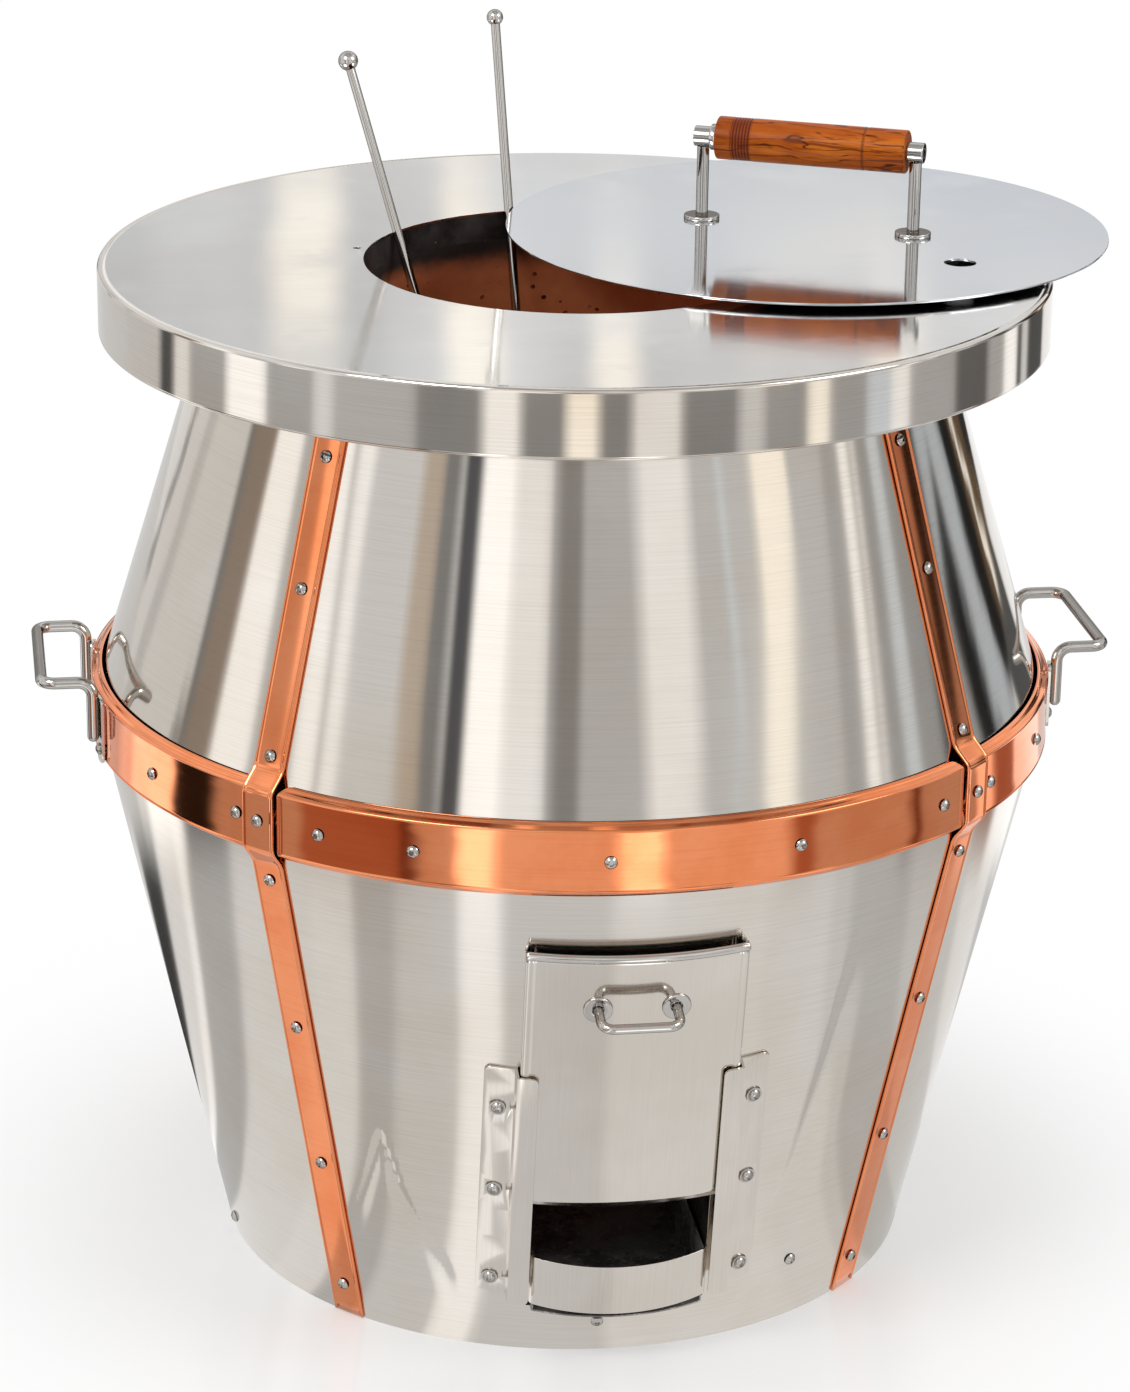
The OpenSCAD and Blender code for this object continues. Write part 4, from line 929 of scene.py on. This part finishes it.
NEAR = [
    (-180, 0.8), (-142, 0.05), (-122, 0.88), (-110, 1.15), (-105, 0.55), (-88, 0.87), (-66, 0.92),
    (-54, 0.58), (-44, 0.75), (-30, 1.2), (-23, 0.74), (0, 0.88), (35, 0.84), (50, 0.74), (56, 0.6),
    (75, 0.7), (100, 0.9), (120, 0.6), (150, 0.8),
]
# A ramp holds colours up to 1 and 32 stops, so the cards' colours are divided by CARD_TOP there, and long
# tables take several ramps. CARD_EDGE is the width of a soft edge between two cards, in degrees.
CARD_TOP, CARD_EDGE, RAMP_STOPS = 2.2, 2.0, 30
# WIDE's cards slant sideways, most at 60 degrees from the front and twice as much on the right, so that their
# streaks lean less than the cone does: degrees per height, the height that stays, and where the slant ends
SPREAD, LEVEL, SLANT_TOP = 90.0, 0.115, 0.2
# Warm glows behind the object, mirrored by the deck, and dark shapes that the upper shell mirrors below the
# deck: azimuth, half width, lowest and highest upward part of the way, height of the soft foot, and colour
GLOW, SOFT = (1.3, 1.22, 1.08), 0.006
GLOWS = [
    (175.2, 0.7, 0.222, 0.27, SOFT, GLOW), (172.9, 0.6, 0.222, 0.3, SOFT, GLOW),
    (170.9, 0.5, 0.25, 0.3, SOFT, GLOW), (167, 0.6, 0.24, 0.29, SOFT, GLOW),
    (-9, 5.0, 0.142, 0.5, 0.03, (0.3, 0.29, 0.28)), (-36, 4.0, 0.146, 0.5, 0.03, (0.1, 0.1, 0.11)),
]
# The deck mirrors a softly streaked screen beyond this azimuth, on both sides of the back
BEHIND = 158.0
# The lid mirrors a backdrop between these azimuths and upward parts, each with its soft edges. Its fold and
# its glow are lines across it: rise per degree of azimuth, and height at azimuth 0.
PLATE_ACROSS, PLATE_UP = (160.0, 161.0, 172.3, 173.2), (0.2, 0.21, 0.2545, 0.2575)
FOLD, GLEAM = (-0.0005, 0.3181), (0.0093, -1.3185)
# Half the floor's width
FLOOR = 40.0


def card_stops(cards):
    """Ramp stops for cards that start at an azimuth and end where the next one starts, with soft edges."""
    stops, before = [], None
    for k, (start, level) in enumerate(cards):
        colour = tuple(c / CARD_TOP for c in (level if isinstance(level, tuple) else (level,) * 3))
        if before is None:
            stops.append((0.0, colour))
        else:
            gaps = [abs(cards[m][0] - start) for m in (k - 1, k + 1) if 0 <= m < len(cards)]
            edge = min(CARD_EDGE, 0.6 * min(gaps)) / 2
            stops += [((start - edge + 180) / 360, before), ((start + edge + 180) / 360, colour)]
        before = colour
    return stops


def bands(net, turn, cards):
    """The colour of the card at an azimuth in degrees. A colour ramp holds few stops, so they chain."""
    place = net.math("MULTIPLY_ADD", turn, 1 / 360, 0.5)
    stops = card_stops(cards)
    colour = net.ramp(place, stops[:RAMP_STOPS], "LINEAR")
    for start in range(RAMP_STOPS, len(stops), RAMP_STOPS - 1):
        chunk = stops[start - 1:start - 1 + RAMP_STOPS]
        past = net.math("GREATER_THAN", place, chunk[0][0])
        colour = net.mix(past, colour, net.ramp(place, chunk, "LINEAR"))
    return net.mix(1.0, colour, (CARD_TOP, CARD_TOP, CARD_TOP, 1), "MULTIPLY")


def degrees_of(net, x, y, wobble=0.0):
    return net.math("MULTIPLY_ADD", net.azimuth(x, y), 180 / pi, wobble)


def lid_backdrop(net, straight, z):
    """What the lid mirrors: a pale backdrop with a bright fold across it and a slanting warm glow."""
    over = net.math("SUBTRACT", z, net.math("MULTIPLY_ADD", straight, *FOLD))
    plate = net.mix(net.remap(over, -0.0008, 0.0002), (0.65, 0.672, 0.705, 1), (0.88, 0.882, 0.888, 1))
    crest = net.between(over, -0.0008, 0.0002, 0.0004, 0.0042)
    plate = net.mix(net.product(crest, net.remap(straight, 164.5, 168.5)), plate, (1.3, 1.3, 1.3, 1))
    glow = net.remap(net.away(z, net.math("MULTIPLY_ADD", straight, *GLEAM)), 0.0006, 0.004, 1.0, 0.0)
    return net.mix(net.product(glow, net.remap(over, 0.0, 0.004)), plate, (1.75, 1.55, 1.25, 1))


def make_world():
    """Mirrors see WIDE, the deck's screen and the lid's backdrop, with a streaked sky above them. The rest of
    the light is an even grey, and the camera sees white."""
    world = bpy.data.worlds.new("studio")
    bpy.context.scene.world = world
    world.use_nodes = True
    net = Net(world.node_tree)
    way = net.add("ShaderNodeTexCoord").outputs["Generated"]
    x, y, z = net.split(way)
    turn = degrees_of(net, x, y, net.math("MULTIPLY_ADD", net.noise(way, 3.0, 2.0), 5.0, -2.5))
    lean = net.math("SINE", net.product(turn, pi / 120))
    lean = net.math("MAXIMUM", lean, net.product(lean, 2.0))
    low = net.math("MULTIPLY_ADD", net.math("MINIMUM", z, SLANT_TOP), -SPREAD, SPREAD * LEVEL)
    around = bands(net, net.math("MULTIPLY_ADD", lean, low, turn), WIDE)
    straight = degrees_of(net, x, y)
    screen = net.noise(net.stretched(way, (18.0, 18.0, 3.0)), 1.0, 2.0, 0.6)
    behind = net.math("GREATER_THAN", net.math("ABSOLUTE", straight), BEHIND)
    behind = net.product(behind, net.remap(z, 0.19, 0.22))
    around = net.mix(behind, around, net.remap(screen, 0.35, 0.65, 0.62, 0.94))
    for middle, half, low, high, foot, colour in GLOWS:
        side = net.remap(net.away(straight, middle), half * 0.3, half, 1.0, 0.0)
        rise = net.between(z, low, low + foot, high - SOFT, high)
        around = net.mix(net.product(side, rise), around, (*colour, 1))
    plate = net.product(net.between(straight, *PLATE_ACROSS), net.between(z, *PLATE_UP))
    around = net.mix(plate, around, lid_backdrop(net, straight, z))
    streaks = net.noise(net.stretched(way, (9.0, 3.0, 5.0)), 1.0, 2.0, 0.6)
    above = net.remap(streaks, 0.35, 0.7, 0.74, 1.18)
    above = net.mix(net.remap(z, 0.75, 0.9), above, net.remap(streaks, 0.35, 0.7, 0.42, 0.72))
    seen = net.mix(net.remap(z, 0.3, 0.36), around, above)
    path = net.add("ShaderNodeLightPath")
    shiny = net.math("MAXIMUM", path.outputs["Is Glossy Ray"], path.outputs["Is Transmission Ray"])
    level = net.mix(shiny, (0.62, 0.62, 0.63, 1), seen)
    level = net.mix(path.outputs["Is Camera Ray"], level, (1, 1, 1, 1))
    glow = net.add("ShaderNodeBackground", None, Color=level, Strength=1.0)
    net.add("ShaderNodeOutputWorld", None, i0=glow.outputs[0])


def make_floor():
    """A white floor with a soft shadow. Mirrors see the cards on it instead, NEAR first and WIDE far out."""
    floor = grid_object("floor", [[(x, y, 0) for x in (-FLOOR, FLOOR)] for y in (-FLOOR, FLOOR)])
    material = bpy.data.materials.new("floor")
    material.use_nodes = True
    net = Net(material.node_tree)
    place, (x, y, _) = net.object_xyz()
    far = net.distance(x, y)
    turn = degrees_of(net, x, y, net.math("MULTIPLY_ADD", net.noise(place, 1.6, 2.0), 8.0, -4.0))
    straight = degrees_of(net, x, y)
    seen = bands(net, turn, NEAR)
    rings = ((MIDDLE, turn, 0.8, 1.0), (FAR, straight, 2.0, 2.4), (WIDE, turn, 3.7, 3.9))
    for cards, way, start, full in rings:
        seen = net.mix(net.remap(far, start, full), seen, bands(net, way, cards))
    pale = net.add("ShaderNodeBsdfDiffuse", None, Color=(0.92, 0.92, 0.92, 1))
    white = net.add("ShaderNodeEmission", None, Color=(1, 1, 1, 1), Strength=1.0)
    mirror = net.add("ShaderNodeEmission", None, Color=seen, Strength=1.0)
    sheen = net.add("ShaderNodeBsdfGlossy", None, Color=(1, 1, 1, 1), Roughness=0.12)
    path = net.add("ShaderNodeLightPath")
    shadowed = net.blend(net.remap(far, 0.34, 0.7, 0.3, 1.0), pale, white)
    glossed = net.blend(net.remap(far, 0.4, 0.9, 0.06, 0.0), shadowed, sheen)
    mirrored = net.blend(path.outputs["Is Glossy Ray"], pale, mirror)
    final = net.blend(path.outputs["Is Camera Ray"], mirrored, glossed)
    net.add("ShaderNodeOutputMaterial", None, i0=final.outputs[0])
    floor.data.materials.append(material)


def make_lamp(name, place, aim, size, watts):
    data = bpy.data.lights.new(name, "AREA")
    data.size = size
    data.energy = watts
    lamp = add_object(name, data)
    lamp.location = place
    lamp.rotation_euler = (Vector(aim) - Vector(place)).to_track_quat("-Z", "Y").to_euler()
    return lamp


def make_studio():
    """Lamps, world and floor. The top lamp doesn't show in mirrors, so that the deck keeps its tone."""
    make_world()
    make_floor()
    make_lamp("key", (-2.2, -1.8, 3.4), (0, 0, 0.5), 1.6, 55)
    make_lamp("fill", (2.6, -1.6, 2.8), (0, 0, 0.5), 1.6, 30)
    make_lamp("top", (0.2, 0.6, 3.6), (0, 0, 0.5), 2.0, 30).visible_glossy = False
    bpy.context.scene.view_settings.view_transform = "Standard"


make_camera()
materials = make_materials()
for key, names in DRESS.items():
    for node in names:
        dress(node, materials[key], EDGES.get(node, 0.0))
lower_shell(materials["satin_shell"])
upper_shell(materials["shell"])
rim(materials["rim"])
belts(materials["copper"])
straps(materials["copper"])
door(materials["door"], materials["rod"])
roses(materials["rod"])
grip(materials["wood"])
bosses(materials["rod"])
make_studio()
